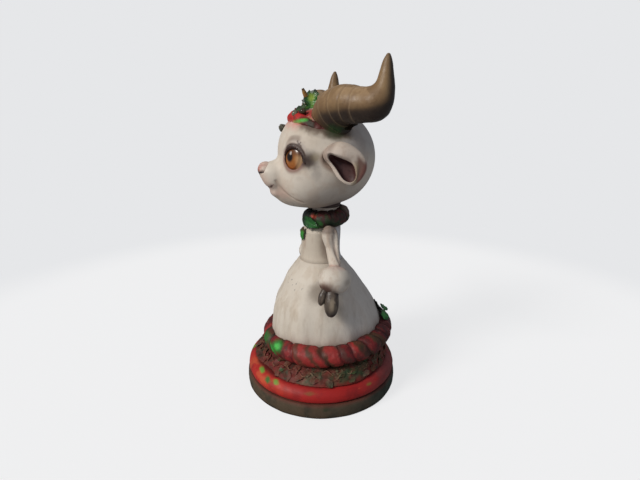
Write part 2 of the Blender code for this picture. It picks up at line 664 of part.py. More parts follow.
# ---- crown: a band laid over the brow, with leaves, twig, berries and cone --------
HORNS = ("horn_left", "horn_right")
band = []
for k in range(23):
    angle = math.radians(-112 + 224 * k / 22)      # 0 is straight ahead
    target = np.array((24.0 * math.sin(angle), 1.6 - 20.5 * math.cos(angle),
                       169.0 + 2.2 * math.cos(angle) - 3.2 * abs(math.sin(angle))))
    radius = (3.7 - 0.6 * abs(math.sin(angle / 1.3))) * (1.0 + 0.06 * (-1) ** k)
    band.append((*head_point(target, 0.4), radius))
head_part("crown_garland", sweep(band, 8), CROWN_RED, *HORNS, sharp=60)

# name, base, tip, normal, width, curl, finish
CROWN_LEAVES = (
    ("tall", (3.0, -8.6, 174.4), (3.2, -4.8, 185.6), (0.75, -0.65, 0.1), 9.0, 0.06, GLOSSY_GREEN),
    ("dark", (-3.2, -8.6, 173.8), (-3.4, -5.0, 185.0), (0.6, -0.75, 0.2), 7.0, 0.08, DARK_GREEN),
    ("low", (1.6, -17.4, 172.6), (5.4, -9.6, 177.2), (0.3, -0.7, 0.65), 6.0, 0.05, DEEP_GREEN))
for name, base, tip, normal, width, curl, finish in CROWN_LEAVES:
    head_part("crown_leaf_" + name, leaf(base, tip, normal, width, 1.1, curl), finish,
              "crown_garland", *HORNS)
for side in ("left", "right"):
    curl_leaf = leaf((24.8, 4.8, 165.4), (22.4, 14.8, 168.6), (0.75, 0.1, 0.65), 7.5, 1.2, 0.12,
                     toothed=False, stations=7)
    head_part("crown_curl_" + side, on_side(side, curl_leaf), CURL_BROWN,
              "crown_garland", "horn_" + side)

TWIG_ROWS = ((0.0, -9.4, 174.6, 1.3), (0.0, -9.2, 179.6, 1.15), (0.0, -10.0, 183.2, 1.0),
             (0.0, -10.9, 186.6, 0.5))
head_part("crown_twig", sweep(spline(TWIG_ROWS), 6), TWIG_BROWN,
          "crown_garland", "crown_leaf_tall", "crown_leaf_dark")

# x, y, z, radius
BERRIES = ((-8.6, -15.6, 173.4, 2.2), (6.6, -18.8, 172.4, 2.1), (10.4, -14.4, 174.0, 2.1))
for i, (*centre, radius) in enumerate(BERRIES):
    head_part("crown_berry_%d" % (i + 1), blob(centre, (radius,) * 3, around=10, down=7),
              BERRY_RED, "crown_garland", "crown_leaf_low", sharp=60)
head_part("brow_cone", blob((-3.8, -21.8, 164.6), (2.3, 2.8, 2.9), around=10, down=6),
          CONE_BROWN, "crown_garland", sharp=60)

# ---- arms: thin sleeve, round cuff, hoof and side toe; rows x, y, z, radius --------
SLEEVE_ROWS = (
    (17.2, 0.7, 107.4, 1.4), (17.2, 0.7, 106.4, 3.2), (17.2, 0.8, 104.4, 4.1),
    (17.3, 1.1, 101.5, 4.1), (18.2, 1.8, 97.0, 3.8), (20.6, 2.3, 91.0, 3.6),
    (23.6, 2.6, 85.8, 3.4), (25.4, 2.7, 82.5, 3.2))
HOOF_ROWS = ((31.8, -0.6, 75.4, 3.4), (33.0, -1.8, 71.6, 4.1), (34.8, -2.4, 67.0, 4.3),
             (36.0, -2.8, 63.4, 3.4), (36.6, -3.0, 61.2, 1.3))
SIDE_TOE_ROWS = ((31.6, -5.4, 74.8, 2.0), (32.6, -7.2, 71.8, 2.3), (33.4, -8.1, 69.0, 2.0),
                 (33.8, -8.5, 67.0, 0.8))


def arm(side):
    group = "arm_" + side
    pivot(group, (SHOULDER_X if side == "left" else -SHOULDER_X, 0.0, SHOULDER_Z))

    def part(name, shape, finish, sharp=60):
        return solid(name + "_" + side, on_side(side, shape), finish, group, sharp)

    sleeve = part("sleeve", sweep(SLEEVE_ROWS, 12), WHITE)
    cut(sleeve, cutter(on_side(side, shoulder_rod(10, 19.3, SLEEVE_BORE, 12))))
    part("shoulder_bush", shoulder_rod(13.0, 18.9, SHOULDER_BUSH_R, 20, PIN_BORE), BUSH_BRASS,
         sharp=35)
    cuff = part("cuff", blob((29.2, 1.1, 79.6), (8.6, 9.7, 8.3)), WHITE)
    seat(cuff, "sleeve_" + side)
    hoof = part("hoof", sweep(spline(HOOF_ROWS), 10), HOOF_BROWN)
    seat(hoof, "cuff_" + side)
    side_toe = part("side_toe", sweep(spline(SIDE_TOE_ROWS), 8), TOE_BROWN)
    seat(side_toe, "cuff_" + side, "hoof_" + side)


for side in ("left", "right"):
    arm(side)
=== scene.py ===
"""Painted goat doll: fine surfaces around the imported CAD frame.

The doll stands upright on z = 0 and looks towards -Y; its left-hand pieces lie at +X.
Lengths are in millimetres until a mesh is made.
"""
import functools
import math

import bmesh
import bpy
import numpy as np
from mathutils import Matrix, Vector


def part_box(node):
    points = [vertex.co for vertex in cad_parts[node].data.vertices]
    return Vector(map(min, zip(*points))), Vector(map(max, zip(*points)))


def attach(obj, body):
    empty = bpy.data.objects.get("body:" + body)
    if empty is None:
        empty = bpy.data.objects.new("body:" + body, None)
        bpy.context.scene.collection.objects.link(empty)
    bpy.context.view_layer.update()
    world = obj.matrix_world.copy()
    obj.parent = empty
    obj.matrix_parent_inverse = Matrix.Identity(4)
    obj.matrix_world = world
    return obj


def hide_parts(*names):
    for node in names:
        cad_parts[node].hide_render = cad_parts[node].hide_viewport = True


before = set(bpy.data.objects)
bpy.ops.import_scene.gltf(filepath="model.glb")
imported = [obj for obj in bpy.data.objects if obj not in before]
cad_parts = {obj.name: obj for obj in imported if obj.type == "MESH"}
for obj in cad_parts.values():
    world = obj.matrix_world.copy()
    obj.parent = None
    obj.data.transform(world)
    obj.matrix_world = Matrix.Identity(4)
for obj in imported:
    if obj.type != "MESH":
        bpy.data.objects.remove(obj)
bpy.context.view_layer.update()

MM = 0.001                                # one millimetre in metres
TURN = 2 * math.pi
SIDES = (("left", 1), ("right", -1))      # name and sign of x


# ======================================================================================
# shape kit: fields are negative inside, and about a distance in millimetres
# ======================================================================================
def unit(vectors):
    vectors = np.asarray(vectors, float)
    return vectors / np.linalg.norm(vectors, axis=-1, keepdims=True)


def ease(low, high, value):
    """Smooth 0..1 as value goes from low to high."""
    share = np.clip((value - low) / (high - low), 0, 1)
    return share * share * (3 - 2 * share)


def fade(low, high, value):
    return 1 - ease(low, high, value)


def around(count):
    return np.linspace(0, TURN, count, endpoint=False)


def fold_x(points):
    """Points with x made positive, for symmetric shapes."""
    return np.concatenate([np.abs(points[..., :1]), points[..., 1:]], -1)


def ellipsoid(points, centre, radii, axes=None):
    offset = points - np.asarray(centre, float)
    if axes is not None:
        offset = offset @ np.asarray(axes, float).T
    radii = np.asarray(radii, float)
    scaled = np.sqrt(((offset / radii) ** 2).sum(-1))
    slope = np.sqrt(((offset / (radii * radii)) ** 2).sum(-1))
    return scaled * (scaled - 1) / np.maximum(slope, 1e-9)


def capsule(points, start, end, start_radius, end_radius):
    start, end = np.asarray(start, float), np.asarray(end, float)
    axis = end - start
    share = np.clip(((points - start) @ axis) / (axis @ axis), 0, 1)
    offset = points - (start + share[..., None] * axis)
    return np.sqrt((offset * offset).sum(-1)) - (start_radius + (end_radius - start_radius) * share)


def tube(points, rows):
    """Tube through rows (x, y, z, radius)."""
    return functools.reduce(np.minimum, (capsule(points, a[:3], b[:3], a[3], b[3])
                                         for a, b in zip(rows[:-1], rows[1:])))


def with_radius(points, radius):
    return [(*point, radius) for point in points]


def merge(first, second, rounding):
    share = np.clip(0.5 + 0.5 * (second - first) / rounding, 0, 1)
    return second * (1 - share) + first * share - rounding * share * (1 - share)


def carve(solid, cutter, rounding):
    """Solid with the cutter taken out, rounded at the edge."""
    return -merge(-solid, cutter, rounding)


def gradient(field, points, reach=0.05):
    return np.stack([(field(points + step) - field(points - step)) / (2 * reach)
                     for step in np.eye(3) * reach], -1)


def catmull(before, start, end, after, share):
    return 0.5 * (2 * start + (end - before) * share
                  + (2 * before - 5 * start + 4 * end - after) * share * share
                  + (3 * start - before - 3 * end + after) * share ** 3)


def overrun(points):
    """Points with one more at each end, carried straight on."""
    points = np.asarray(points, float)
    return np.vstack([2 * points[0] - points[1], points, 2 * points[-1] - points[-2]])


def spline(points, count):
    """Open curve through the points, with count steps to each span."""
    points = overrun(points)
    curve = [catmull(*points[i - 1:i + 3], share) for i in range(1, len(points) - 2)
             for share in np.linspace(0, 1, count, endpoint=False)]
    return np.array(curve + [points[-2]])


def closed_spline(points, count):
    points = np.asarray(points, float)
    total = len(points)
    return np.array([catmull(*(points[(i + k) % total] for k in (-1, 0, 1, 2)), share)
                     for i in range(total) for share in np.linspace(0, 1, count, endpoint=False)])


def surface_net(field, low, high, cell, relax=2):
    """Quad mesh of field = 0 in a box: one point per crossed cell, then eased on to it."""
    low, high = np.asarray(low, float), np.asarray(high, float)
    count = np.ceil((high - low) / cell).astype(int) + 1

    # a coarse look finds the blocks near the surface; only these are sampled finely
    block = 6
    blocks = -(-count // block)
    middles = [low[k] + cell * (block * np.arange(blocks[k]) + (block - 1) / 2) for k in range(3)]
    coarse = field(np.stack(np.meshgrid(*middles, indexing="ij"), -1))
    busy = np.abs(coarse) < 1.75 * 0.87 * (block + 1) * cell + 0.8

    def spread(values):
        for axis in range(3):
            values = np.repeat(values, block, axis)
        return values[:count[0], :count[1], :count[2]]

    values = spread(np.where(coarse < 0, -9.0, 9.0))
    samples = np.argwhere(spread(busy))
    batch = 120000
    for i in range(0, len(samples), batch):
        part = samples[i:i + batch]
        values[tuple(part.T)] = field(low + cell * part)

    # one point in each crossed cell: the mean of the crossings on its edges
    inside = values < 0
    corners = [(i, j, k) for i in (0, 1) for j in (0, 1) for k in (0, 1)]
    filled = np.zeros(count - 1, int)
    for i, j, k in corners:
        filled += inside[i:count[0] - 1 + i, j:count[1] - 1 + j, k:count[2] - 1 + k]
    cells = np.argwhere((filled > 0) & (filled < 8))
    index = -np.ones(filled.shape, int)
    index[tuple(cells.T)] = np.arange(len(cells))
    total, crossings = np.zeros((len(cells), 3)), np.zeros(len(cells))
    for i, start in enumerate(corners):
        for end in corners[i + 1:]:
            if sum(abs(np.subtract(start, end))) != 1:
                continue
            value_a = values[tuple((cells + start).T)]
            value_b = values[tuple((cells + end).T)]
            crossed = (value_a < 0) != (value_b < 0)
            share = np.where(crossed, value_a / np.where(crossed, value_a - value_b, 1), 0)
            total[crossed] += (np.array(start) + share[:, None] * np.subtract(end, start))[crossed]
            crossings[crossed] += 1
    points = low + cell * (cells + total / crossings[:, None])

    # one quad round each crossed grid edge
    quads = []
    for axis in range(3):
        others = [k for k in range(3) if k != axis]
        here = [slice(1, size - 1) for size in count]
        ahead = list(here)
        here[axis], ahead[axis] = slice(0, count[axis] - 1), slice(1, count[axis])
        start = inside[tuple(here)]
        edges = np.argwhere(start != inside[tuple(ahead)])
        solid = start[tuple(edges.T)]
        edges[:, others] += 1
        ring = []
        for step in ((-1, -1), (0, -1), (0, 0), (-1, 0)):
            corner = edges.copy()
            corner[:, others] += step
            ring.append(index[tuple(corner.T)])
        quad = np.stack(ring, -1)
        reverse = solid if axis == 1 else ~solid
        quad[reverse] = quad[reverse][:, ::-1]
        quads.append(quad)
    faces = np.vstack(quads)

    links = np.vstack([faces[:, [0, 1]], faces[:, [1, 2]], faces[:, [2, 3]], faces[:, [3, 0]]])
    degree = np.bincount(links.ravel(), minlength=len(points))[:, None]
    for _ in range(relax):
        nearby = np.zeros_like(points)
        np.add.at(nearby, links[:, 0], points[links[:, 1]])
        np.add.at(nearby, links[:, 1], points[links[:, 0]])
        points = points + 0.5 * (nearby / degree - points)
        for _ in range(2):
            slope = gradient(field, points)
            step = (field(points) / np.maximum((slope * slope).sum(-1), 1e-3))[:, None] * slope
            length = np.linalg.norm(step, axis=1)[:, None]
            points = points - step * np.minimum(1, 0.6 * cell / np.maximum(length, 1e-9))
    return points, faces


def ring(angles, z, radius, y_radius=None, y=0.0):
    y_radius = radius if y_radius is None else y_radius
    return np.stack([radius * np.cos(angles), y + y_radius * np.sin(angles),
                     np.full_like(angles, z)], 1)


def loft(rings, loop=False):
    """Skin over equal rings: closed on itself if loop, else with a fan cap at each end."""
    size, total = len(rings[0]), len(rings)
    points = np.vstack(rings)
    faces = []
    for i in range(total if loop else total - 1):
        near, far = i * size, ((i + 1) % total) * size
        for j in range(size):
            k = (j + 1) % size
            faces.append((near + j, near + k, far + k, far + j))
    if not loop:
        for base in (0, (total - 1) * size):
            points = np.vstack([points, points[base:base + size].mean(0)])
            hub = len(points) - 1
            for j in range(size):
                k = (j + 1) % size
                faces.append((base + j, base + k, hub) if base else (base + k, base + j, hub))
    return points, faces


def sweep(path, sides, lump=None):
    """Tube through rows (x, y, z, radius); lump(share along, angles) scales the radius."""
    centres, radii = path[:, :3], path[:, 3]
    tangents = unit(np.gradient(centres, axis=0))
    across = np.cross(tangents[0], (0, 0, 1))
    angles = around(sides)
    rings = []
    for i, tangent in enumerate(tangents):
        across = unit(across - tangent * (across @ tangent))
        radius = radii[i] * (lump(i / (len(path) - 1), angles) if lump else 1.0)
        rings.append(centres[i] + (radius * np.cos(angles))[:, None] * across
                     + (radius * np.sin(angles))[:, None] * np.cross(tangent, across))
    return loft(rings)


def straight(start, direction, lengths, radii):
    """Rows (x, y, z, radius) along a straight line."""
    centres = np.array(start) + np.outer(lengths, unit(direction))
    return np.hstack([centres, np.asarray(radii)[:, None]])


def ball(centre, radii, across, down, axes=None, warp=None):
    """Ball with poles along its third axis; warp(directions) scales it."""
    yaw, tilt = np.meshgrid(around(across), np.linspace(0, np.pi, down + 1)[1:-1])
    directions = np.stack([np.sin(tilt) * np.cos(yaw), np.sin(tilt) * np.sin(yaw), np.cos(tilt)],
                          -1).reshape(-1, 3)
    directions = np.vstack([[0, 0, 1], directions, [0, 0, -1]])
    points = directions * np.asarray(radii, float)
    if warp is not None:
        points = points * warp(directions)[:, None]
    if axes is not None:
        points = points @ np.asarray(axes, float)
    points = points + np.asarray(centre, float)
    faces = [(0, 1 + j, 1 + (j + 1) % across) for j in range(across)]
    for i in range(down - 2):
        near, far = 1 + i * across, 1 + (i + 1) * across
        for j in range(across):
            k = (j + 1) % across
            faces.append((near + j, far + j, far + k, near + k))
    last, base = len(points) - 1, 1 + (down - 2) * across
    faces += [(base + j, last, base + (j + 1) % across) for j in range(across)]
    return points, faces


def holly(base, tip, normal, width, rows, columns, thick=1.1, curl=0.0, cup=0.25, spines=3,
          spine=0.5, wave=0.0, fold=0.35):
    """Closed holly leaf: side spines, raised midrib, side veins and a wavy edge.
    Returns the mesh and two values per point, 0..1: vein and edge."""
    base, tip = np.asarray(base, float), np.asarray(tip, float)
    length = np.linalg.norm(tip - base)
    along = (tip - base) / length
    normal = np.asarray(normal, float)
    normal = unit(normal - along * (normal @ along))
    side = np.cross(along, normal)
    share = np.linspace(0, 1, rows)
    body = np.sin(np.pi * share ** 0.85) ** 0.75
    phase = (share * spines) % 1.0
    tooth = np.where(phase < 0.62, (phase / 0.62) ** 1.8, ((1 - phase) / 0.38) ** 1.2)
    tooth_size = np.sin(np.pi * share) ** 0.4
    half = 0.5 * width * (body * (1 - spine * 0.45) + spine * 0.75 * tooth * tooth_size)
    half[0] = 0.05 * width
    half = np.maximum(half, 0.03 * width)

    share, offset = np.meshgrid(share, np.linspace(-1, 1, columns + 1), indexing="ij")
    out = half[:, None] * offset
    edge = np.abs(offset)
    height = curl * length * share ** 2 + cup * out ** 2 / width * 2
    height += wave * width * np.sin(TURN * share * spines + 0.7) * edge ** 2
    height -= fold * np.exp(-(offset / 0.10) ** 2) * 0.55
    vein = np.exp(-((((share * 9 - edge * 1.3) % 1.0) - 0.5) / 0.13) ** 2)
    vein = vein * (1 - np.exp(-(offset / 0.12) ** 2)) * (edge < 0.93)
    height -= 0.10 * vein
    midrib = np.exp(-(offset / 0.09) ** 2)
    middle = (base + along * (length * share)[..., None] + side * out[..., None]
              + normal * height[..., None])
    depth = thick * (1 - 0.75 * edge ** 2) * (0.35 + 0.65 * np.sin(np.pi * np.clip(share, 0.05, 0.97)))
    top = middle + normal * (depth * 0.5)[..., None]
    under = middle - normal * (depth * 0.5)[..., None]
    rings, veins, edges = [], [], []
    for i in range(rows):
        rings.append(np.vstack([top[i], under[i][::-1][1:-1]]))
        veins.append(np.concatenate([np.maximum(vein[i] * 0.7, midrib[i]), np.zeros(columns - 1)]))
        edges.append(np.concatenate([edge[i], edge[i][::-1][1:-1]]))
    return loft(rings), np.concatenate(veins + [[0, 0]]), np.concatenate(edges + [[0, 0]])


class Shells:
    """Collects closed shells into one mesh, with one named value per point."""

    def __init__(self, value_name=None):
        self.value_name = value_name
        self.points, self.faces, self.values = [], [], []
        self.count = 0

    def add(self, mesh, value=0.0):
        points, faces = mesh
        self.points.append(points)
        self.faces += [tuple(i + self.count for i in face) for face in faces]
        self.count += len(points)
        self.values.append(np.broadcast_to(np.asarray(value, float), (len(points),)))

    def mesh(self):
        return np.vstack(self.points), self.faces

    def attrs(self):
        return {self.value_name: np.concatenate(self.values)}


def build(name, mesh, body, replaced, material, base, sharp=None, attrs=None, sign=1):
    """New piece riding on a body and standing in for a CAD piece; returns its paint.
    sharp is the edge angle in degrees kept sharp; sign -1 mirrors the piece in x."""
    points, faces = mesh
    points = points * (sign, 1, 1) * MM
    data = bpy.data.meshes.new(name)
    if isinstance(faces, np.ndarray):
        data.vertices.add(len(points))
        data.vertices.foreach_set("co", points.astype(np.float32).ravel())
        data.loops.add(faces.size)
        data.loops.foreach_set("vertex_index", faces.astype(np.int32).ravel())
        data.polygons.add(len(faces))
        data.polygons.foreach_set("loop_start", (np.arange(len(faces)) * 4).astype(np.int32))
        data.polygons.foreach_set("loop_total", np.full(len(faces), 4, np.int32))
        data.update(calc_edges=True)
        data.validate()
    else:
        data.from_pydata(points.tolist(), [], faces)
        data.update(calc_edges=True)
    turn_outward(data)
    data.shade_smooth()
    if sharp:
        data.set_sharp_from_angle(angle=math.radians(sharp))
    for key, values in (attrs or {}).items():
        data.attributes.new(key, "FLOAT", "POINT").data.foreach_set(
            "value", np.asarray(values, np.float32))
    obj = bpy.data.objects.new(name, data)
    bpy.context.scene.collection.objects.link(obj)
    if material:
        data.materials.append(material)
    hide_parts(replaced)
    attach(obj, body)
    return Paint(obj, base)


def turn_outward(data):
    """Turns every separate shell of the mesh so that its faces look out."""
    shells = bmesh.new()
    shells.from_mesh(data)
    bmesh.ops.recalc_face_normals(shells, faces=shells.faces[:])
    shells.to_mesh(data)
    shells.free()
    data.update()


# ======================================================================================
# paint kit: a colour worked out by rule at every point
# ======================================================================================
def srgb(*levels):
    """sRGB 0-255 to linear."""
    return tuple((level / 255 / 12.92) if level / 255 <= 0.04045
                 else ((level / 255 + 0.055) / 1.055) ** 2.4 for level in levels)


def value_noise(points, size, seed):
    """Smooth value noise 0..1 with cells of the given size."""
    scaled = np.asarray(points, float) / size + seed * 17.31 + 1000.0
    cell = np.floor(scaled).astype(np.int64)
    part = scaled - cell
    part = part * part * part * (part * (part * 6 - 15) + 10)
    total = 0.0
    for i in (0, 1):
        for j in (0, 1):
            for k in (0, 1):
                code = ((cell[..., 0] + i) * 374761393 + (cell[..., 1] + j) * 668265263
                        + (cell[..., 2] + k) * 2147483647 + seed * 144665)
                code = (code ^ (code >> 13)) * 1274126177
                code = (code ^ (code >> 16)) & 0xFFFF
                weight = ((part[..., 0] if i else 1 - part[..., 0])
                          * (part[..., 1] if j else 1 - part[..., 1])
                          * (part[..., 2] if k else 1 - part[..., 2]))
                total = total + weight * code / 65535.0
    return total


def layered_noise(points, size, seed=0, octaves=4):
    value, amount, total = 0.0, 1.0, 0.0
    for octave in range(octaves):
        value = value + amount * value_noise(points, size / 2 ** octave, seed + 7 * octave)
        total += amount
        amount *= 0.55
    return value / total


class Paint:
    """Layers of paint on an object's points. Colours are sRGB 0-255, strengths are masks 0..1.

    blots rows:   colour, strength, centre, radii, softness, wobble, wobble size, seed, both sides
    mottles rows: colour, strength, noise for none, noise for full, size, seed, octaves, stretch
    strokes rows: colour, strength, points, half-width, softness, wobble (both sides)
    """

    def __init__(self, obj, base):
        self.obj = obj
        coords = np.empty(len(obj.data.vertices) * 3, np.float32)
        obj.data.vertices.foreach_get("co", coords)
        self.points = coords.reshape(-1, 3).astype(float) / MM
        self.folded = fold_x(self.points)
        self.x, self.y, self.z = self.points.T
        self.colours = np.tile(srgb(*base), (len(self.points), 1))

    def angle(self, y_centre=0.0):
        return np.degrees(np.arctan2(self.y - y_centre, self.x))

    def noise(self, size, seed=0, octaves=4, stretch=(1, 1, 1)):
        return layered_noise(self.points * stretch, size, seed, octaves)

    def wander(self, amount, *noise):
        """Noise centred on zero, amount from end to end."""
        return amount * (self.noise(*noise) - 0.5)

    def over(self, colour, mask):
        mask = np.clip(mask, 0, 1)[:, None]
        self.colours = self.colours * (1 - mask) + np.array(srgb(*colour)) * mask

    def darken(self, factors, mask):
        mask = np.clip(mask, 0, 1)[:, None]
        self.colours = self.colours * (1 - mask + mask * np.array(factors))

    def blot(self, colour, strength, centre, radii, soft=0.5, wobble=0.25, size=2.5, seed=3,
             both=True):
        offset = (self.folded if both else self.points) - centre
        reach = np.linalg.norm(offset / radii, axis=1) + self.wander(2 * wobble, size, seed, 3)
        self.over(colour, fade(1 - soft, 1 + soft, reach) * strength)

    def mottle(self, colour, strength, none, full, *noise):
        self.over(colour, ease(none, full, self.noise(*noise)) * strength)

    def stroke(self, colour, strength, points, radius, soft, wobble):
        reach = tube(self.folded, with_radius(points, 0.0)) / radius
        reach = reach + self.wander(2 * wobble, 1.5, 5, 2)
        self.over(colour, fade(1 - soft, 1 + soft, reach) * strength)

    def blots(self, *rows):
        for row in rows:
            self.blot(*row)

    def mottles(self, *rows):
        for row in rows:
            self.mottle(*row)

    def strokes(self, *rows):
        for row in rows:
            self.stroke(*row)

    def store(self):
        layer = self.obj.data.attributes.new("paint", "FLOAT_COLOR", "POINT")
        rgba = np.ones((len(self.colours), 4), np.float32)
        rgba[:, :3] = np.clip(self.colours, 0, 1)
        layer.data.foreach_set("color", rgba.ravel())
        self.obj.data.attributes.active_color = layer


GREY_BROWN = (120, 104, 90)
DARK_BROWN = (62, 44, 38)
PINK = (206, 150, 138)
LIGHT_RED = (214, 62, 46)
DARK_RED = (104, 24, 26)
BLACK_RED = (58, 18, 18)
GREEN = (38, 112, 42)
LIGHT_GREEN = (70, 182, 66)
DARK_GREEN = (22, 52, 26)
BLACK_GREEN = (14, 24, 16)


# ======================================================================================
# materials
# ======================================================================================
class Shader:
    """Short calls for the nodes of one material."""

    def __init__(self, name):
        self.material = bpy.data.materials.new(name)
        self.material.use_nodes = True
        self.tree = self.material.node_tree
        self.coords = self.node("TexCoord").outputs["Object"]

    def put(self, socket, value):
        if isinstance(value, bpy.types.NodeSocket):
            self.tree.links.new(value, socket)
        elif isinstance(value, tuple) and socket.type == "RGBA":
            socket.default_value = (*value, 1.0)
        else:
            socket.default_value = value

    def node(self, kind, inputs=None, **settings):
        node = self.tree.nodes.new("ShaderNode" + kind)
        for key, value in settings.items():
            setattr(node, key, value)
        for key, value in (inputs or {}).items():
            self.put(node.inputs[key], value)
        return node

    def mapping(self, stretch=(1, 1, 1), shift=(0, 0, 0)):
        inputs = {"Vector": self.coords, "Scale": stretch, "Location": shift}
        return self.node("Mapping", inputs).outputs[0]

    def noise(self, scale, detail=4.0, rough=0.6, distort=0.0, stretch=(1, 1, 1), shift=(0, 0, 0)):
        return self.node("TexNoise", {
            "Vector": self.mapping(stretch, shift), "Scale": scale, "Detail": detail,
            "Roughness": rough, "Distortion": distort}).outputs["Fac"]

    def cells(self, scale, feature="F1"):
        inputs = {"Vector": self.mapping(), "Scale": scale, "Randomness": 1.0}
        return self.node("TexVoronoi", inputs, feature=feature).outputs["Distance"]

    def step(self, value, low, high):
        """Smooth 0..1 as value goes from low to high."""
        return self.node("MapRange", {"Value": value, "From Min": low, "From Max": high},
                         interpolation_type="SMOOTHSTEP").outputs["Result"]

    def remap(self, value, low, high, to_low, to_high):
        return self.node("MapRange", {
            "Value": value, "From Min": low, "From Max": high,
            "To Min": to_low, "To Max": to_high}).outputs["Result"]

    def mix(self, amount, first, second, blend="MIX"):
        return self.node("Mix", {0: amount, 6: first, 7: second}, data_type="RGBA",
                         blend_type=blend, clamp_factor=True).outputs[2]

    def tint(self, amount, colour, factors):
        return self.mix(amount, colour, factors, "MULTIPLY")

    def calc(self, operation, first, second=None, clamp=False):
        inputs = {0: first} if second is None else {0: first, 1: second}
        return self.node("Math", inputs, operation=operation, use_clamp=clamp).outputs[0]

    def mul(self, first, second):
        return self.calc("MULTIPLY", first, second)

    def add(self, first, second):
        return self.calc("ADD", first, second)

    def bump(self, height, strength, distance):
        inputs = {"Height": height, "Strength": strength, "Distance": distance}
        return self.node("Bump", inputs).outputs["Normal"]

    def pointiness(self, low, high):
        return self.step(self.node("NewGeometry").outputs["Pointiness"], low, high)

    def finish(self, colour, rough, normal, metal=0.0, spec=0.5, extra=None):
        values = {"Base Color": colour, "Roughness": rough, "Metallic": metal,
                  "Specular IOR Level": spec, "Normal": normal, **(extra or {})}
        for key, value in values.items():
            self.put(self.tree.nodes["Principled BSDF"].inputs[key], value)
        return self.material


def painted(name, rough, fine, streak, grime_and_hollow_shade, bump, grime_and_hollow_shade_tint=(0.45, 0.36, 0.30), speck=0.0,
            gloss=0.12, stretch=(1, 1, 1), spec=0.4, crackle=0.0, scale=1.0, wear=0.0,
            wear_colour=None):
    """Brushed paint over the stored colours.
    fine: mottling; streak: brush marks, drawn out by stretch; grime: dirt and painted shade
    in hollows, from ambient occlusion; gloss: unevenness of the roughness; crackle: hair cracks;
    wear: rubbed edges."""
    shader = Shader(name)
    colour = shader.node("Attribute", attribute_name="paint").outputs["Color"]
    broad = shader.noise(95 * scale)
    mid = shader.noise(420 * scale, detail=5, rough=0.62, distort=0.3)
    brush = shader.noise(700 * scale, stretch=stretch, distort=0.6)
    grain = shader.noise(2600 * scale, detail=3)
    # mottling and brush streaks: noise, its none and full values, amount, tint
    for noise, none, full, amount, factors in (
            (broad, 0.35, 0.68, fine * 2.0, (0.86, 0.80, 0.74)),
            (mid, 0.5, 0.75, fine * 2.0, (0.80, 0.74, 0.68)),
            (mid, 0.52, 0.28, fine * 1.5, (1.12, 1.12, 1.10)),
            (brush, 0.50, 0.72, streak * 2.2, (0.72, 0.66, 0.60))):
        colour = shader.tint(shader.mul(shader.step(noise, none, full), amount), colour, factors)
    # dirt and painted shade gather where the surface folds in, from the ambient occlusion
    occlusion = shader.node("AmbientOcclusion", {"Distance": 0.004}, samples=6)
    hollow = shader.calc("SUBTRACT", 1.0, occlusion.outputs["AO"])
    hollow = shader.calc("MULTIPLY", shader.step(hollow, 0.12, 0.75),
                         shader.remap(mid, 0.3, 0.7, 0.7, 1.1), clamp=True)
    colour = shader.tint(shader.mul(hollow, grime_and_hollow_shade), colour, grime_and_hollow_shade_tint)
    if speck:
        dots = shader.cells(1500 * scale)
        patch = shader.step(shader.noise(150 * scale, detail=3, shift=(3, 1, 2)), 0.52, 0.66)
        dots = shader.mul(shader.step(dots, 0.16, 0.08), patch)
        colour = shader.mix(shader.mul(dots, speck), colour, (0.20, 0.15, 0.12))
    if crackle:
        cracks = shader.cells(330 * scale, feature="DISTANCE_TO_EDGE")
        patch = shader.noise(120 * scale, detail=3, rough=0.5, shift=(1, 5, 2))
        cracks = shader.mul(shader.step(cracks, 0.028, 0.008), shader.step(patch, 0.50, 0.62))
        colour = shader.tint(shader.mul(cracks, crackle), colour, (0.30, 0.24, 0.20))
    if wear:
        rubbed = shader.mul(shader.pointiness(0.53, 0.60), shader.step(mid, 0.42, 0.62))
        colour = shader.mix(shader.mul(rubbed, wear), colour, srgb(*wear_colour))
    roughness = shader.remap(mid, 0.25, 0.75, rough - gloss, rough + gloss)
    roughness = shader.calc("ADD", roughness, shader.mul(hollow, 0.2), clamp=True)
    height = shader.add(shader.mul(brush, 0.55), shader.mul(grain, 0.30))
    height = shader.add(height, shader.mul(mid, 0.45))
    if crackle:
        height = shader.calc("SUBTRACT", height, shader.mul(cracks, 0.8))
    return shader.finish(colour, roughness, shader.bump(height, bump, 0.00035), spec=spec)


CREAM_PAINT = painted(
    "cream_paint_aged", rough=0.52, fine=0.07, streak=0.03, grime_and_hollow_shade=0.35, bump=0.12,
    grime_and_hollow_shade_tint=(0.46, 0.36, 0.32), speck=0.2, crackle=0.08, stretch=(1, 1, 0.35))
GOWN_PAINT = painted(
    "gown_paint_brushed", rough=0.56, fine=0.07, streak=0.06, grime_and_hollow_shade=0.4, bump=0.16,
    grime_and_hollow_shade_tint=(0.44, 0.36, 0.32), speck=0.3, crackle=0.08, stretch=(1.0, 1.0, 0.16))
DOME_PAINT = painted(
    "dome_red_enamel", rough=0.54, fine=0.10, streak=0.09, grime_and_hollow_shade=0.45, bump=0.18,
    grime_and_hollow_shade_tint=(0.30, 0.22, 0.20), spec=0.32, wear=0.25, wear_colour=(226, 96, 66))
PLINTH_PAINT = painted(
    "plinth_weathered_paint", rough=0.72, fine=0.20, streak=0.16, grime_and_hollow_shade=0.5, bump=0.55,
    stretch=(1, 1, 2.4), spec=0.3, wear=0.35, wear_colour=(120, 112, 92))
GARLAND_PAINT = painted(
    "garland_painted_relief", rough=0.58, fine=0.17, streak=0.16, grime_and_hollow_shade=0.85, bump=0.45,
    grime_and_hollow_shade_tint=(0.16, 0.13, 0.11), spec=0.45, wear=0.22, wear_colour=(205, 110, 92), scale=1.2)
FOLIAGE_PAINT = painted(
    "crushed_foliage_paint", rough=0.62, fine=0.12, streak=0.1, grime_and_hollow_shade=0.55, bump=0.3,
    grime_and_hollow_shade_tint=(0.22, 0.16, 0.13), spec=0.35, wear=0.30, wear_colour=(176, 142, 110), scale=1.3)
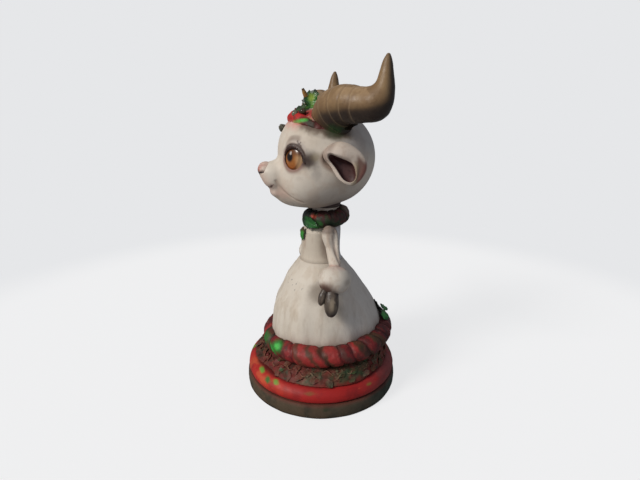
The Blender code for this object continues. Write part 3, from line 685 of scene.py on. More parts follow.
LEAF_PAINT = painted(
    "holly_leaf_enamel", rough=0.36, fine=0.15, streak=0.13, grime_and_hollow_shade=0.6, bump=0.35,
    grime_and_hollow_shade_tint=(0.2, 0.2, 0.16), spec=0.5, scale=1.6)
HORN_PAINT = painted(
    "horn_brushed_tan", rough=0.46, fine=0.14, streak=0.20, grime_and_hollow_shade=0.7, bump=0.34,
    grime_and_hollow_shade_tint=(0.25, 0.20, 0.17), stretch=(0.6, 0.6, 0.6))
HOOF_PAINT = painted(
    "hoof_dark_lacquer", rough=0.40, fine=0.18, streak=0.24, grime_and_hollow_shade=0.6, bump=0.4,
    grime_and_hollow_shade_tint=(0.25, 0.2, 0.18), stretch=(1, 1, 0.25), spec=0.5, scale=1.3)
EAR_PAINT = painted(
    "ear_shaded_paint", rough=0.54, fine=0.08, streak=0.06, grime_and_hollow_shade=0.4, bump=0.14,
    grime_and_hollow_shade_tint=(0.36, 0.26, 0.22), crackle=0.08)
NOSE_PAINT = painted(
    "nose_pink_satin", rough=0.5, fine=0.12, streak=0.06, grime_and_hollow_shade=0.6, bump=0.35,
    grime_and_hollow_shade_tint=(0.35, 0.2, 0.18), scale=1.8, speck=0.2)
CONE_PAINT = painted(
    "cone_scale_paint", rough=0.65, fine=0.2, streak=0.2, grime_and_hollow_shade=0.8, bump=0.55,
    grime_and_hollow_shade_tint=(0.15, 0.13, 0.1), scale=1.6)
TWIG_PAINT = painted(
    "twig_bark_paint", rough=0.62, fine=0.22, streak=0.3, grime_and_hollow_shade=0.6, bump=0.6,
    grime_and_hollow_shade_tint=(0.2, 0.15, 0.1), stretch=(1, 1, 0.2), scale=1.6)
BERRY_PAINT = painted(
    "berry_gloss_red", rough=0.2, fine=0.12, streak=0.05, grime_and_hollow_shade=0.6, bump=0.15,
    grime_and_hollow_shade_tint=(0.2, 0.1, 0.1), spec=0.6, scale=1.5, gloss=0.06)
LASH_PAINT = painted(
    "lash_dark_brown", rough=0.42, fine=0.15, streak=0.25, grime_and_hollow_shade=0.4, bump=0.4,
    grime_and_hollow_shade_tint=(0.3, 0.25, 0.2), scale=1.6)


# ======================================================================================
# body: plinth and dome
# ======================================================================================
def cad_round(name):
    """Radius, bottom and top of a round CAD piece."""
    low, high = (np.array(corner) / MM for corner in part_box(name))
    return (high[0] - low[0]) / 2, low[2], high[2]


AXIS_Y = sum(corner[1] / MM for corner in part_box("tie_rod")) / 2


def turned(profile, sides, wobble, seed, size):
    """Lathe of (radius, z) rows with a slight hand-made unevenness."""
    rings = []
    for radius, z in profile:
        points = ring(around(sides), z, radius)
        if radius > 5:
            uneven = wobble * (layered_noise(points, size, seed, 3) - 0.5) * 2
            points += (points * [1, 1, 0] / radius) * uneven[:, None]
        rings.append(points)
    return loft(rings)


def rounded_profile(rows, spacing):
    """Smooth curve through (radius, z) rows, thinned to the spacing."""
    kept = [np.array(rows[0], float)]
    for point in spline(rows, 8)[1:]:
        if np.linalg.norm(point - kept[-1]) >= spacing:
            kept.append(point)
    return kept


# plinth: worn disc, recessed underneath, with softened edges
radius, bottom, top = cad_round("plinth")
profile = [(r, bottom + 1.0) for r in (0.01, 12, 24, 36, 44, 46.2)]
profile += [(46.4, 0.05), (48.4, 0.05), (49.4, 0.15), (49.75, 0.5), (49.85, 1.2)]
profile += [(radius - 0.25 + 0.25 * math.sin(math.pi * share), bottom + 1.2 + 5.4 * share)
            for share in np.linspace(0.06, 1, 12)]
profile += [(radius - 0.7, top - 0.7), (radius - 1.3, top - 0.25), (radius - 2.2, top)]
profile += [(r, top) for r in (44, 36, 24, 12, 0.01)]
points, faces = turned(profile, 220, wobble=0.28, seed=4, size=9.0)
outer_top = (np.hypot(points[:, 0], points[:, 1]) > 46) & (points[:, 2] > 7.5)
points[:, 2] += np.where(outer_top, 0.10 * (layered_noise(points, 6, 9) - 0.5) * 2, 0)
points[:, 2] = np.clip(points[:, 2], 0.05, top)
paint = build("plinth_turned", (points, faces), "body", "plinth", PLINTH_PAINT,
              (86, 74, 58), sharp=50)
angle = paint.angle()
paint.over((60, 78, 70), ease(-20, 60, angle + paint.wander(40, 16, 2))
           * fade(130, 178, angle) * 0.9)
paint.mottles(
    ((92, 74, 58), 0.5, 0.52, 0.75, 10, 11),
    ((40, 44, 36), 0.55, 0.5, 0.72, 7, 12),
    (DARK_GREEN, 0.6, 0.62, 0.78, 12, 31))
paint.over((120, 92, 78), ease(20, 60, -angle - 80 + paint.wander(30, 9, 32)) * 0.35)
paint.over((112, 40, 32), ease(top - 1.6, top - 0.1, paint.z + paint.wander(0.6, 3, 5)) * 0.55)
paint.darken((0.55, 0.5, 0.45), fade(bottom + 0.2, bottom + 2.2, paint.z))
paint.store()

# dome: fat rounded red cushion-moulded step
radius, bottom, top = cad_round("base_dome")
profile = [(r, bottom) for r in (0.01, 14, 28, 40, 46.5)]
profile += rounded_profile(
    [(47.6, bottom + 0.05), (48.6, bottom + 0.7), (radius, bottom + 2.2), (48.85, 13.1),
     (48.2, 14.7), (47.0, 16.2), (45.2, 17.5), (43.0, top - 0.05)], spacing=0.18)
profile += [(r, top) for r in (41, 36, 24, 12, 0.01)]
points, faces = turned(profile, 240, wobble=0.32, seed=14, size=13.0)
points[:, 2] = np.clip(points[:, 2], bottom, top)
paint = build("base_dome_moulded", (points, faces), "body", "base_dome", DOME_PAINT,
              (172, 34, 32), sharp=55)
angle = paint.angle()
# painted highlight: lighter red and a pale orange blot towards the lit front of the +x side
paint.mottle((190, 48, 36), fade(25, 75, np.abs(angle + 62)) * 0.6, 0.3, 0.6, 12, 3)
paint.blots(((216, 76, 50), 0.35, (30, -36, 14.5), (16, 10, 2.4), 0.6, 0.2, 2.5, 3, False))
paint.mottles((DARK_RED, 0.40, 0.50, 0.72, 9, 21))
# painted cool shade: greyer over the back half
paint.over((126, 74, 72), ease(0, 100, angle) * 0.3 * fade(150, 180, angle))
# more painted shade, grey, over the back half; then a painted orange highlight at the front
paint.mottles(
    ((110, 92, 88), ease(6, 60, angle) * 0.45 * fade(120, 170, angle), 0.36, 0.6, 9, 34),
    ((214, 104, 62), fade(8, 24, np.abs(angle + 74)) * 0.55, 0.42, 0.6, 8, 35))
paint.over((84, 20, 18), fade(42.6, 45.5, np.hypot(paint.x, paint.y) + paint.wander(1.6, 5, 8))
           * ease(14, 17, paint.z) * 0.9)
DOME_GREEN_DABS = (     # centre, radii, strength
    ((16.1, -42.5, 17.4), (3.0, 1.6, 1.2), 0.75), ((25.4, -40.2, 16.0), (3.0, 1.7, 1.8), 0.95),
    ((29.7, -35.6, 16.8), (2.4, 2.0, 1.2), 0.7), ((44.1, -17.5, 15.6), (1.6, 3.8, 0.9), 0.35),
    ((44.5, 20.5, 16.2), (1.8, 2.6, 1.0), 0.4), ((8, 46, 15.5), (4.0, 1.4, 1.3), 0.7),
    ((-19, 42.5, 16), (2.5, 2.0, 1.2), 0.6), ((-38, 26, 16.2), (2.2, 2.4, 1.2), 0.7),
    ((-45.5, -4, 15.8), (1.4, 3.4, 1.4), 0.75), ((-36.5, -28.5, 16.2), (3.0, 2.0, 1.2), 0.8),
    ((-15, -44.2, 16.0), (2.6, 1.4, 1.5), 0.7), ((-3, -45.3, 15.4), (1.8, 1.2, 1.0), 0.5))
for i, (centre, radii, strength) in enumerate(DOME_GREEN_DABS):
    paint.blot(GREEN if i % 2 else LIGHT_GREEN, strength, centre, radii,
               soft=0.45, wobble=0.5, size=1.6, seed=40 + i, both=False)
paint.darken((0.5, 0.42, 0.4), fade(bottom + 0.1, bottom + 1.5, paint.z) * 0.8)
paint.store()

# ======================================================================================
# body: gown, foliage bed and hem garland
# ======================================================================================
GOWN_BOTTOM = 18.6
GOWN_TOP = 84.3
BORE_R = 2.1                     # hole for the tie rod
GOWN_ROWS = np.array((           # z, half-width in x, reach to the front, reach to the back
    (GOWN_BOTTOM, 34.6, 32.2, 42.4), (30.0, 34.6, 32.8, 42.4), (36.0, 34.2, 33.0, 41.8),
    (43.0, 33.2, 32.5, 39.6), (50.0, 32.2, 31.6, 36.8), (57.0, 30.0, 29.8, 33.0),
    (65.3, 25.9, 25.7, 27.7), (73.7, 21.8, 22.0, 22.2), (80.0, 17.2, 17.4, 17.0),
    (84.0, 14.0, 14.2, 13.8)))
# hem garland: ring centre, ring radius, roll radius and slope up to the back
HEM_CENTRE = np.array((0.0, 4.3, 34.0))
HEM_RING_R = 36.7
HEM_ROLL_R = 6.5
HEM_SLOPE = math.tan(math.radians(4))


def hem_height(y):
    return HEM_CENTRE[2] + (y - HEM_CENTRE[1]) * HEM_SLOPE


def gown_section(z):
    """Half-width, front reach and back reach at height z."""
    i = np.clip(np.searchsorted(GOWN_ROWS[:, 0], z) - 1, 0, len(GOWN_ROWS) - 2)
    before, start, end, after = overrun(GOWN_ROWS)[i:i + 4]
    share = (z - start[0]) / (end[0] - start[0])
    straight_row = start + (end - start) * share
    return (0.1 * straight_row + 0.9 * catmull(before, start, end, after, share))[1:]


def gown_ring(angles, z, inset=0.0):
    """Ring of the gown at height z with its soft hanging folds."""
    half_width, front, back = gown_section(z)
    middle = (back - front) / 2
    points = ring(angles, z, half_width - inset, (back + front) / 2 - inset, middle)
    fold = (0.34 * np.sin(9 * angles + 0.4 + 0.012 * z) + 0.26 * np.sin(14 * angles - 1.1)
            + 0.20 * np.sin(5 * angles + 2.0))
    fold = np.minimum(fold * fade(52, 78, z) * ease(18, 30, z), 0.6)
    if not inset:
        fold = fold + 0.55 * (layered_noise(points, 13, 51, 3) - 0.5)
    return points + unit(points - [0, middle, z]) * fold[:, None]


angles = around(300)
heights = np.concatenate([np.linspace(GOWN_BOTTOM, 80, 124), np.linspace(80.5, 84.0, 9)])
rings = [gown_ring(angles, z) for z in heights]
rings += [ring(angles, z, r, y=-0.2) for z, r in ((84.25, 13.55), (GOWN_TOP, 13.2))]
rings += [ring(angles, z, r, y=y) for r, z, y in (      # lid with the rod bore
    (6, GOWN_TOP, 0.5), (BORE_R, GOWN_TOP, AXIS_Y), (BORE_R, 81.8, AXIS_Y), (6, 81.8, 0.5))]
rings += [gown_ring(angles, z, 2.0 if z < 75 else 2.4)
          for z in (81, 74, 64, 52, 40, 28, GOWN_BOTTOM)]
paint = build("gown_draped", loft(rings, loop=True), "body", "gown", GOWN_PAINT,
              (222, 212, 197), sharp=60)
angle = paint.angle(HEM_CENTRE[1])
paint.mottles(
    ((200, 182, 160), 0.38, 0.52, 0.72, 4.2, 61, 4, (1, 1, 0.14)),
    ((150, 128, 104), 0.22 * fade(50, 74, paint.z), 0.60, 0.80, 2.4, 62, 3, (1, 1, 0.12)))
# painted cool shade: blue-grey over the back half
paint.over((190, 193, 204), ease(-16, 20, angle) * fade(120, 160, angle) * 0.25)
streak_area = fade(8, 26, np.abs(angle + 64)) * ease(36, 44, paint.z) * fade(56, 70, paint.z)
paint.mottle((172, 150, 122), streak_area * 0.35, 0.35, 0.6, 3.0, 63, 3, (1, 1, 0.1))
above_hem = paint.z - hem_height(paint.y)
paint.over((150, 124, 112),
           fade(3.5, 13, above_hem + paint.wander(6, 3.0, 66, 3, (1, 1, 0.25))) * 0.55)
paint.over((112, 78, 68), fade(2.0, 7.0, above_hem + paint.wander(3, 2.0, 67, 3)) * 0.6)
# painted shadow of the cuff and hoof on the gown, beside and below them
paint.blots(
    (GREY_BROWN, 0.62, (22.6, -7.6, 69.3), (4.2, 5.6, 6.4), 0.6, 0.2),
    (GREY_BROWN, 0.35, (30.0, 1.0, 62.0), (4.0, 7.0, 6.0), 0.7, 0.2))
waist = np.abs(paint.z - 83.0 + 0.8 * np.sin(3 * np.radians(angle)))
paint.over((184, 168, 152), fade(0.8, 3.4, waist) * 0.2)
# flicked specks of dark paint
specks = ease(0.86, 0.93, value_noise(paint.points, 0.9, 91)) * 0.75
for centre, radii in (((10.5, -19.0, 72.5), (8.0, 5.0, 5.0)), ((-14, -16, 69), (8, 6, 7)),
                      ((-4, 24, 66), (9, 5, 6))):
    paint.blot(DARK_BROWN, specks, centre, radii, wobble=0.2, both=False)
paint.store()

# foliage: holly, twigs and berries pressed into a bed that slopes up to the hem
BED_STEPS = 26
BED_LOWEST = 18.7                # leaves and twigs stay above this
LEAVES, BERRIES, TWIGS = 92, 14, 34
BERRY_KIND, TWIG_KIND = 1000.0, 2000.0
bed_turn = around(300)
inner_x, inner_y = 35.2 * np.cos(bed_turn), 5.1 + 37.9 * np.sin(bed_turn)
bed_inner, bed_angle = np.hypot(inner_x, inner_y), np.arctan2(inner_y, inner_x)
bed_outer = 44.9 + 0.45 * np.sin(7 * bed_angle + 1.0) - 0.35 * np.cos(11 * bed_angle)
for depth, dent_angle, spread in ((3.1, -1.10, 0.42), (1.5, 0.96, 0.35), (1.6, 2.2, 0.6)):
    bed_outer = bed_outer - depth * np.exp(-((bed_angle - dent_angle) / spread) ** 2)


def bed_point(share, angle, inner, outer, lift=0.0):
    """Point on the bed; share runs from 0 at its outer edge to 1 at its inner edge."""
    radius = outer + (inner - outer) * share
    x, y = radius * np.cos(angle), radius * np.sin(angle)
    high = np.minimum(27.0, hem_height(y) - HEM_ROLL_R - 0.7)
    z = GOWN_BOTTOM + (high - GOWN_BOTTOM) * np.minimum(1.0, share * 1.25) ** 0.8
    return np.stack([x, y, z + lift], -1)


def bed_index(angle):
    return int(np.argmin(np.abs((bed_angle - angle + math.pi) % TURN - math.pi)))


def bed_station(share, angle, lift):
    i = bed_index(angle)
    return bed_point(share, bed_angle[i], bed_inner[i], bed_outer[i], lift)


def bed_shell():
    rings = [ring(bed_angle, GOWN_BOTTOM, bed_outer)]
    for i in range(BED_STEPS + 1):
        share = i / BED_STEPS
        points = bed_point(share, bed_angle, bed_inner, bed_outer)
        weight = math.sin(math.pi * min(0.9, share + 0.06)) ** 0.5
        ridge = np.abs(layered_noise(points * [1, 1, 0.6], 5.2, 71, 4) - 0.5) * 2
        points[:, 2] += weight * (0.8 * (1 - ridge) ** 2 - 0.35
                                  + 0.5 * (layered_noise(points, 2.8, 72, 2) - 0.5))
        points[:, 2] = np.maximum(points[:, 2], 18.65)
        rings.append(points)
    rings.append(ring(bed_angle, GOWN_BOTTOM, bed_inner))
    return loft(rings, loop=True)


def raise_low(mesh):
    points, faces = mesh
    points[:, 2] = np.maximum(points[:, 2], BED_LOWEST)
    return points, faces


def bed_leaf(i, rng):
    angle = TURN * (i + rng.uniform(-0.35, 0.35)) / LEAVES
    share = (0.16, 0.44, 0.70)[i % 3] + rng.uniform(-0.08, 0.08)
    centre = bed_station(share, angle, 0.15)
    inward = unit(bed_station(share + 0.05, angle, 0.15) - centre)
    tangent = unit(np.cross((0, 0, 1), inward))
    normal = unit(np.cross(inward, tangent))
    normal = normal if normal[2] > 0 else -normal
    heading = rng.uniform(-1.25, 1.25) + (math.pi if rng.random() < 0.5 else 0)
    along = math.cos(heading) * tangent + math.sin(heading) * inward
    length, width = rng.uniform(5.0, 8.0), rng.uniform(3.0, 4.8)
    along = unit(along - normal * 0.05)
    tilted = unit(normal + rng.uniform(-0.2, 0.2) * np.cross(along, normal))
    tip = centre + along * length * 0.5 + normal * rng.uniform(-0.1, 0.4)
    return raise_low(holly(
        centre - along * length * 0.5 - normal * 0.05, tip, tilted, width, rows=20, columns=8,
        thick=0.8, curl=rng.uniform(-0.05, 0.03), cup=0.4, spines=int(rng.integers(2, 4)),
        spine=0.3, wave=0.04, fold=0.2)[0])


def bed_berry(i, rng):
    angle = TURN * (i + rng.uniform(-0.3, 0.3)) / BERRIES
    share = rng.uniform(0.12, 0.6)
    radius = rng.uniform(0.9, 1.5)
    return ball(bed_station(share, angle, 0.35), radius, 14, 10,
                warp=lambda d: 1 - 0.12 * np.exp(-((d[:, 2] - 1) / 0.05) ** 2))


def bed_twig(i, rng):
    middle = TURN * (i + rng.uniform(-0.4, 0.4)) / TWIGS
    start, phase, length = rng.uniform(0.1, 0.6), rng.uniform(0, 6), rng.uniform(0.10, 0.20)
    rows = []
    for along in np.linspace(0, 1, 9):
        angle = middle + length * (along - 0.5)
        share = np.clip(start + 0.12 * math.sin(phase + 4 * along), 0.04, 0.85)
        swell = math.sin(math.pi * along)
        point = bed_point(share, angle, bed_inner[bed_index(angle)],
                          np.interp(angle % TURN, bed_turn, bed_outer), 0.35 + 0.35 * swell)
        rows.append((*point, 0.28 + 0.22 * swell))
    return raise_low(sweep(spline(rows, 3), 7))


rng = np.random.default_rng(20240611)
shells = Shells("kind")
shells.add(bed_shell())
for maker, total, first_kind in ((bed_leaf, LEAVES, 1.0), (bed_berry, BERRIES, BERRY_KIND),
                                 (bed_twig, TWIGS, TWIG_KIND)):
    for i in range(total):
        shells.add(maker(i, rng), first_kind + i)
attrs = shells.attrs()
kind = attrs["kind"]
paint = build("foliage_relief", shells.mesh(), "body", "foliage_ring",
              FOLIAGE_PAINT, (104, 46, 36), sharp=120, attrs=attrs)
coarse, fine = paint.noise(5.5, 73), paint.noise(3.1, 74)
paint.mottles(
    ((52, 40, 26), 0.9, 0.48, 0.62, 5.5, 73),
    ((44, 54, 32), 0.7, 0.52, 0.66, 3.1, 74),
    ((120, 30, 26), 0.8, 0.55, 0.7, 4.4, 75),
    ((120, 84, 60), 0.5, 0.62, 0.74, 2.6, 76))
LEAF_COLOURS = ((54, 74, 44), (38, 54, 36), (104, 44, 36), (92, 74, 50), (116, 92, 68),
                (52, 98, 52), (78, 38, 30), (102, 112, 92))
angle = paint.angle()
for i in range(LEAVES):
    leaf_mask = kind == 1.0 + i
    pick = int(rng.integers(0, len(LEAF_COLOURS)))
    leaf_angle = angle[leaf_mask].mean()
    if -100 < leaf_angle < -62:
        pick = (6, 3, 6)[i % 3]
    if 8 < leaf_angle < 45:
        pick = (5, 0, 7, 3)[i % 4]
    paint.over(LEAF_COLOURS[pick], leaf_mask * (0.40 + 0.4 * (fine - 0.5)))
is_twig = (kind >= TWIG_KIND).astype(float)
paint.over((86, 26, 22), ((kind >= BERRY_KIND) & (kind < TWIG_KIND)) * 0.9)
paint.over((112, 84, 62), is_twig * (0.5 + 0.6 * (coarse - 0.4)))
paint.over((150, 130, 108), is_twig * ease(0.6, 0.72, fine) * 0.4)
paint.mottles(
    ((104, 108, 80), fade(18, 42, np.abs(angle + 8)) * 0.35, 0.46, 0.60, 4.2, 77, 3),
    ((118, 40, 34), 0.45, 0.50, 0.62, 5.0, 94, 3),
    ((40, 70, 40), fade(12, 30, np.abs(angle - 16)) * 0.6, 0.48, 0.60, 3.4, 78, 3),
    ((120, 34, 30), fade(14, 34, np.abs(angle + 52)) * 0.55, 0.46, 0.60, 4.0, 79, 3))
paint.over((132, 28, 24), ease(43.6, 45.4, np.hypot(paint.x, paint.y) + 1.2 * (fine - 0.5))
           * (kind < 0.5) * 0.8)
paint.store()


def garland(path, steps, roll, lobes, sides, depth, seed, uneven):
    """Closed roll of plump slanting turns round path(angles), with roll as its radius.
    Returns the mesh, and each point's turn number and crease value."""
    roughness = 0.06
    angles = around(steps)
    centres = path(angles)
    tangents = unit(np.roll(centres, -1, 0) - np.roll(centres, 1, 0))
    section = around(sides)
    cos, sin = np.cos(section)[:, None], np.sin(section)[:, None]
    rng = np.random.default_rng(seed)
    crease_width = rng.uniform(-0.16, 0.16, lobes)
    size = rng.uniform(0.92, 1.04, lobes)
    middle = centres.mean(0)
    rings, turns, creases = [], [], []
    for i in range(steps):
        outward = unit([centres[i][0] - middle[0], centres[i][1] - middle[1], 0])
        upward = unit(np.cross(tangents[i], outward))
        upward = upward if upward[2] > 0 else -upward
        phase = (lobes * angles[i] / TURN + ((section + math.pi) % TURN) / TURN
                 + 0.05 * np.sin(3 * section + i * 0.07)
                 + uneven * np.sin(3 * angles[i] + seed)
                 + 0.6 * uneven * np.sin(7 * angles[i] + 1.3 * seed))
        turn = np.floor(phase).astype(int) % lobes
        share = phase - np.floor(phase)
        crease = np.exp(-(np.minimum(share, 1 - share) / (0.085 + 0.02 * crease_width[turn])) ** 2)
        bulge = np.sin(np.pi * np.clip(share, 0, 1)) ** 0.55
        plain = centres[i] + roll * cos * outward + roll * sin * upward
        fine = (layered_noise(plain, roll * 0.45, seed + 3, 3) - 0.5) * 2
        radius = (roll * ((1 - depth) + depth * bulge) * (size[turn] * (1 - crease) + crease)
                  * (1 - 0.10 * crease) + roll * roughness * fine * (1 - crease))[:, None]
        rings.append(centres[i] + radius * cos * outward + radius * sin * upward)
        turns.append(turn)
        creases.append(crease)
    return loft(rings, loop=True), np.concatenate(turns), np.concatenate(creases)


def band(angle, centre, half_width, soft=1.5, skew=0.0):
    """Mask of a band round the given angle, in degrees."""
    away = np.abs((angle + skew - centre + 180) % 360 - 180)
    return fade(half_width - soft, half_width + soft, away)


def hem_path(angles):
    x, y = HEM_RING_R * np.cos(angles), HEM_CENTRE[1] + HEM_RING_R * np.sin(angles)
    return np.stack([x, y, hem_height(y)], 1)


mesh, turn, crease = garland(hem_path, 26 * 18, HEM_ROLL_R, lobes=23, sides=44, depth=0.10,
                             seed=5, uneven=0.36)
paint = build("hem_garland_twisted", mesh, "body", "hem_garland",
              GARLAND_PAINT, (138, 32, 34))
angle = paint.angle(HEM_CENTRE[1])
swirl = paint.noise(4.0, 81, 4, (1, 1, 1.6))
paint.over((164, 46, 42), ease(0.57, 0.74, swirl) * 0.35)
paint.over(DARK_RED, ease(0.52, 0.32, swirl) * 0.8)
paint.mottles(
    ((112, 28, 30), 0.7, 0.48, 0.60, 6, 82),
    ((44, 30, 26), 0.6, 0.56, 0.66, 3.4, 95, 3, (1, 1, 1.5)))
hue = np.random.default_rng(12).uniform(0, 1, 26)
paint.over(DARK_RED, (hue[turn] < 0.30) * 0.45)
paint.over((196, 60, 52), (hue[turn] > 0.78) * 0.35)
above_hem = paint.z - hem_height(paint.y)
skew = 7.0 * above_hem / HEM_ROLL_R + paint.wander(6.0, 3, 83, 3)
HEM_BANDS = (       # angle, half-width, colour, strength
    (-83, 4.5, DARK_GREEN, 0.9), (-74, 3, DARK_GREEN, 0.7), (-55, 4, (52, 30, 24), 0.7),
    (-38, 3.5, DARK_GREEN, 0.75), (-25.5, 2.2, DARK_GREEN, 0.85), (-14.5, 3.0, DARK_GREEN, 0.9),
    (2.0, 2.8, (66, 56, 46), 0.7), (11, 2.4, BLACK_RED, 0.6), (21, 4.4, DARK_GREEN, 0.88),
    (40, 5, (30, 64, 34), 0.75), (50, 3, BLACK_RED, 0.7), (66, 6, DARK_RED, 0.8),
    (82, 4, DARK_GREEN, 0.8), (-98, 5, BLACK_RED, 0.75), (-112, 4, DARK_GREEN, 0.7),
    (-128, 5, GREEN, 0.75), (-150, 4, DARK_GREEN, 0.8), (-171, 3, LIGHT_GREEN, 0.6),
    (168, 5, GREEN, 0.7), (150, 3.5, DARK_GREEN, 0.8), (131, 5, GREEN, 0.75),
    (112, 4, BLACK_RED, 0.7), (98, 3, DARK_GREEN, 0.8))
for centre, half_width, colour, strength in HEM_BANDS:
    paint.over(colour, band(angle, centre, half_width, 1.4, skew) * strength
               * (0.75 + 0.5 * (swirl - 0.4)))
# painted shade: dark mottling over the back half
paint.mottle((60, 34, 32), ease(-12, 30, angle) * fade(120, 160, angle) * 0.55,
             0.42, 0.58, 4.5, 96, 3)
skew = 4.0 * above_hem / HEM_ROLL_R
paint.over((36, 132, 46), band(angle, -69, 5.0, 2.0, skew) * fade(1.5, 4.0, above_hem) * 0.95)
paint.over((70, 200, 80), band(angle, -69, 2.2, 2.0, skew)
           * fade(-0.5, 2.5, np.abs(above_hem + 0.5)) * 0.8)
# painted shade in the creases between the turns
paint.darken((0.40, 0.32, 0.30), crease * 0.6)
paint.mottles(((186, 110, 96), 0.28 * (1 - crease), 0.68, 0.8, 1.8, 84, 3, (1, 1, 2.0)))
paint.blots(
    ((40, 128, 48), 0.9, (18.9, -32.4, 34.8), (4.4, 4.4, 3.6), 0.45, 0.25, 2.0, 97, False),
    ((84, 206, 88), 0.85, (19.6, -33.4, 34.8), (2.4, 2.6, 1.9), 0.6, 0.25, 2.0, 98, False),
    ((38, 118, 44), 0.8, (5.0, -37.6, 34.0), (4.2, 3.6, 3.4), 0.45, 0.3, 2.0, 99, False))
# painted shade on the underside of the roll
paint.darken((0.6, 0.5, 0.45), fade(-6, -1.5, above_hem) * 0.6)
paint.store()

# ======================================================================================
# body: bodice, collar and leaves
# ======================================================================================
BODICE_BOTTOM, BODICE_TOP = 84.45, 112.2
BODICE_ROWS = np.array((         # z, radius, centre y
    (BODICE_BOTTOM, 13.75, -0.2), (85.2, 13.35, -0.2), (86.3, 12.95, -0.25), (88.0, 12.55, -0.3),
    (91.0, 12.3, -0.3), (95.0, 12.25, -0.3), (99.0, 12.3, -0.1), (103.0, 12.2, 0.2),
    (106.2, 11.0, 1.4), (108.6, 9.4, 2.6), (110.5, 9.0, 3.0), (BODICE_TOP, 8.9, AXIS_Y)))
angles = around(150)
rings = []
for z in np.linspace(BODICE_BOTTOM, BODICE_TOP, 60):
    radius, middle = (np.interp(z, BODICE_ROWS[:, 0], BODICE_ROWS[:, k]) for k in (1, 2))
    points = ring(angles, z, radius, y=middle)
    fold = (0.12 * np.sin(4 * angles + z * 0.16) * ease(86, 92, z) * fade(100, 106, z)
            + 0.25 * (layered_noise(points, 8, 52, 3) - 0.5))
    armpit = (-0.5 * np.exp(-((np.abs(np.cos(angles)) - 1) / 0.09) ** 2)
              * ease(88, 96, z) * fade(102, 106, z))
    rings.append(points + ring(angles, 0.0, 1.0) * (fold + armpit - 0.12)[:, None])
rings += [ring(angles, z, BORE_R, y=AXIS_Y) for z in (BODICE_TOP, BODICE_BOTTOM)]
paint = build("bodice_draped", loft(rings, loop=True), "body", "bodice",
              GOWN_PAINT, (210, 198, 181), sharp=60)
# painted rim light: paler on the back
paint.over((230, 230, 232), ease(2, 9, paint.y) * 0.9)
paint.mottles(((178, 156, 136), 0.5, 0.52, 0.72, 3.2, 64, 4, (1, 1, 0.2)))
# painted shade at the top, under the collar
paint.over((150, 128, 112), ease(104.0, 107.5, paint.z) * 0.5)
# painted shade under the arms, between the sleeves and the bodice
paint.blots(((112, 84, 72), 0.55, (11.6, 0.3, 96.0), (2.2, 3.6, 9.0), 0.6, 0.2))
paint.over(GREY_BROWN, fade(84.4, 86.6, paint.z + paint.wander(0.8, 3, 8)) * 0.35)
paint.store()

COLLAR_Z = 111.4
COLLAR_RING_R = 9.3
COLLAR_SLOPE = math.tan(math.radians(6))


def collar_path(angles):
    y = COLLAR_RING_R * np.sin(angles)
    return np.stack([COLLAR_RING_R * np.cos(angles), AXIS_Y + y, COLLAR_Z + y * COLLAR_SLOPE], 1)


mesh, turn, crease = garland(collar_path, 330, 5.6, lobes=7, sides=56, depth=0.07, seed=15,
                             uneven=0.35)
paint = build("collar_garland_twisted", mesh, "body", "collar_garland",
              GARLAND_PAINT, (76, 32, 30))
angle = paint.angle(AXIS_Y)
above_ring = paint.z - COLLAR_Z - (paint.y - AXIS_Y) * COLLAR_SLOPE
paint.mottles(
    ((50, 34, 32), 0.85, 0.46, 0.62, 3.2, 85),
    ((98, 28, 28), 0.6, 0.40, 0.28, 3.2, 85),
    (DARK_GREEN, 0.8, 0.54, 0.66, 3.6, 86, 3),
    ((30, 78, 34), 0.5, 0.64, 0.74, 3.0, 87, 3))
paint.over(BLACK_GREEN, band(angle, -80, 20, 7) * 0.85)
paint.blots(
    (GREEN, 0.9, (9.5, -7.5, 108.3), (5.5, 6.5, 3.6), 0.4, 0.35, 2.0, 88),
    (LIGHT_GREEN, 0.6, (10.5, -9.0, 107.6), (2.6, 3.4, 2.2), 0.5, 0.4, 1.6, 89),
    ((190, 70, 40), 0.8, (9.5, -7.0, 113.6), (2.0, 1.5, 1.2), 0.5, 0.4, 1.2, 90),
    (DARK_GREEN, 0.75, (13.6, 2.5, 110.2), (2.6, 3.0, 3.0), 0.5, 0.4, 1.6, 92))
# painted highlight: paler grey-brown along the top of the back part
paint.over((132, 112, 100), band(angle, 70, 20, 8) * ease(0.5, 3.6, above_ring) * 0.6)
paint.over((124, 100, 90), band(angle, 88, 40, 10) * ease(2.6, 4.8, above_ring) * 0.45)
# painted shade in the creases between the turns
paint.darken((0.45, 0.38, 0.36), crease * 0.5)
paint.store()


def build_leaf(name, body, replaced, tones, seed, **shape):
    """One holly leaf; tones are its base, dark and light colours."""
    mesh, vein, edge = holly(**shape)
    base, dark, light = tones
    paint = build(name, mesh, body, replaced, LEAF_PAINT, base, sharp=70,
                  attrs={"vein": vein, "edge": edge})
    noise = paint.noise(2.6, 100 + seed, 3)
    paint.over(dark, ease(0.5, 0.7, noise) * 0.7)
    paint.over(light, vein * 0.45)
    paint.over(light, ease(0.56, 0.3, noise) * 0.4)
    paint.over(dark, ease(0.72, 1.0, edge) * 0.7)
    return paint


paint = build_leaf(
    "collar_leaf_holly", "body", "collar_leaf", ((32, 86, 36), BLACK_GREEN, (52, 128, 52)), seed=1,
    base=(3.6, -12.6, 111.2), tip=(13.8, -5.8, 108.6), normal=(0.6, -0.8, 0.1), width=7.6,
    thick=1.2, spine=0.28, wave=0.03, rows=60, columns=18)
paint.over(BLACK_GREEN, fade(4.5, 9, paint.x) * 0.75)
paint.store()

paint = build_leaf(
    "chest_leaf_holly", "body", "chest_leaf", (GREEN, (66, 30, 26), LIGHT_GREEN), seed=2,
    base=(3.4, -12.0, 106.2), tip=(3.4, -12.9, 97.4), normal=(0.4, -1.0, 0.1), width=4.8,
    spines=2, wave=0.04, rows=48, columns=14)
paint.over((78, 34, 28), ease(101.5, 105.0, paint.z) * 0.8)
paint.store()

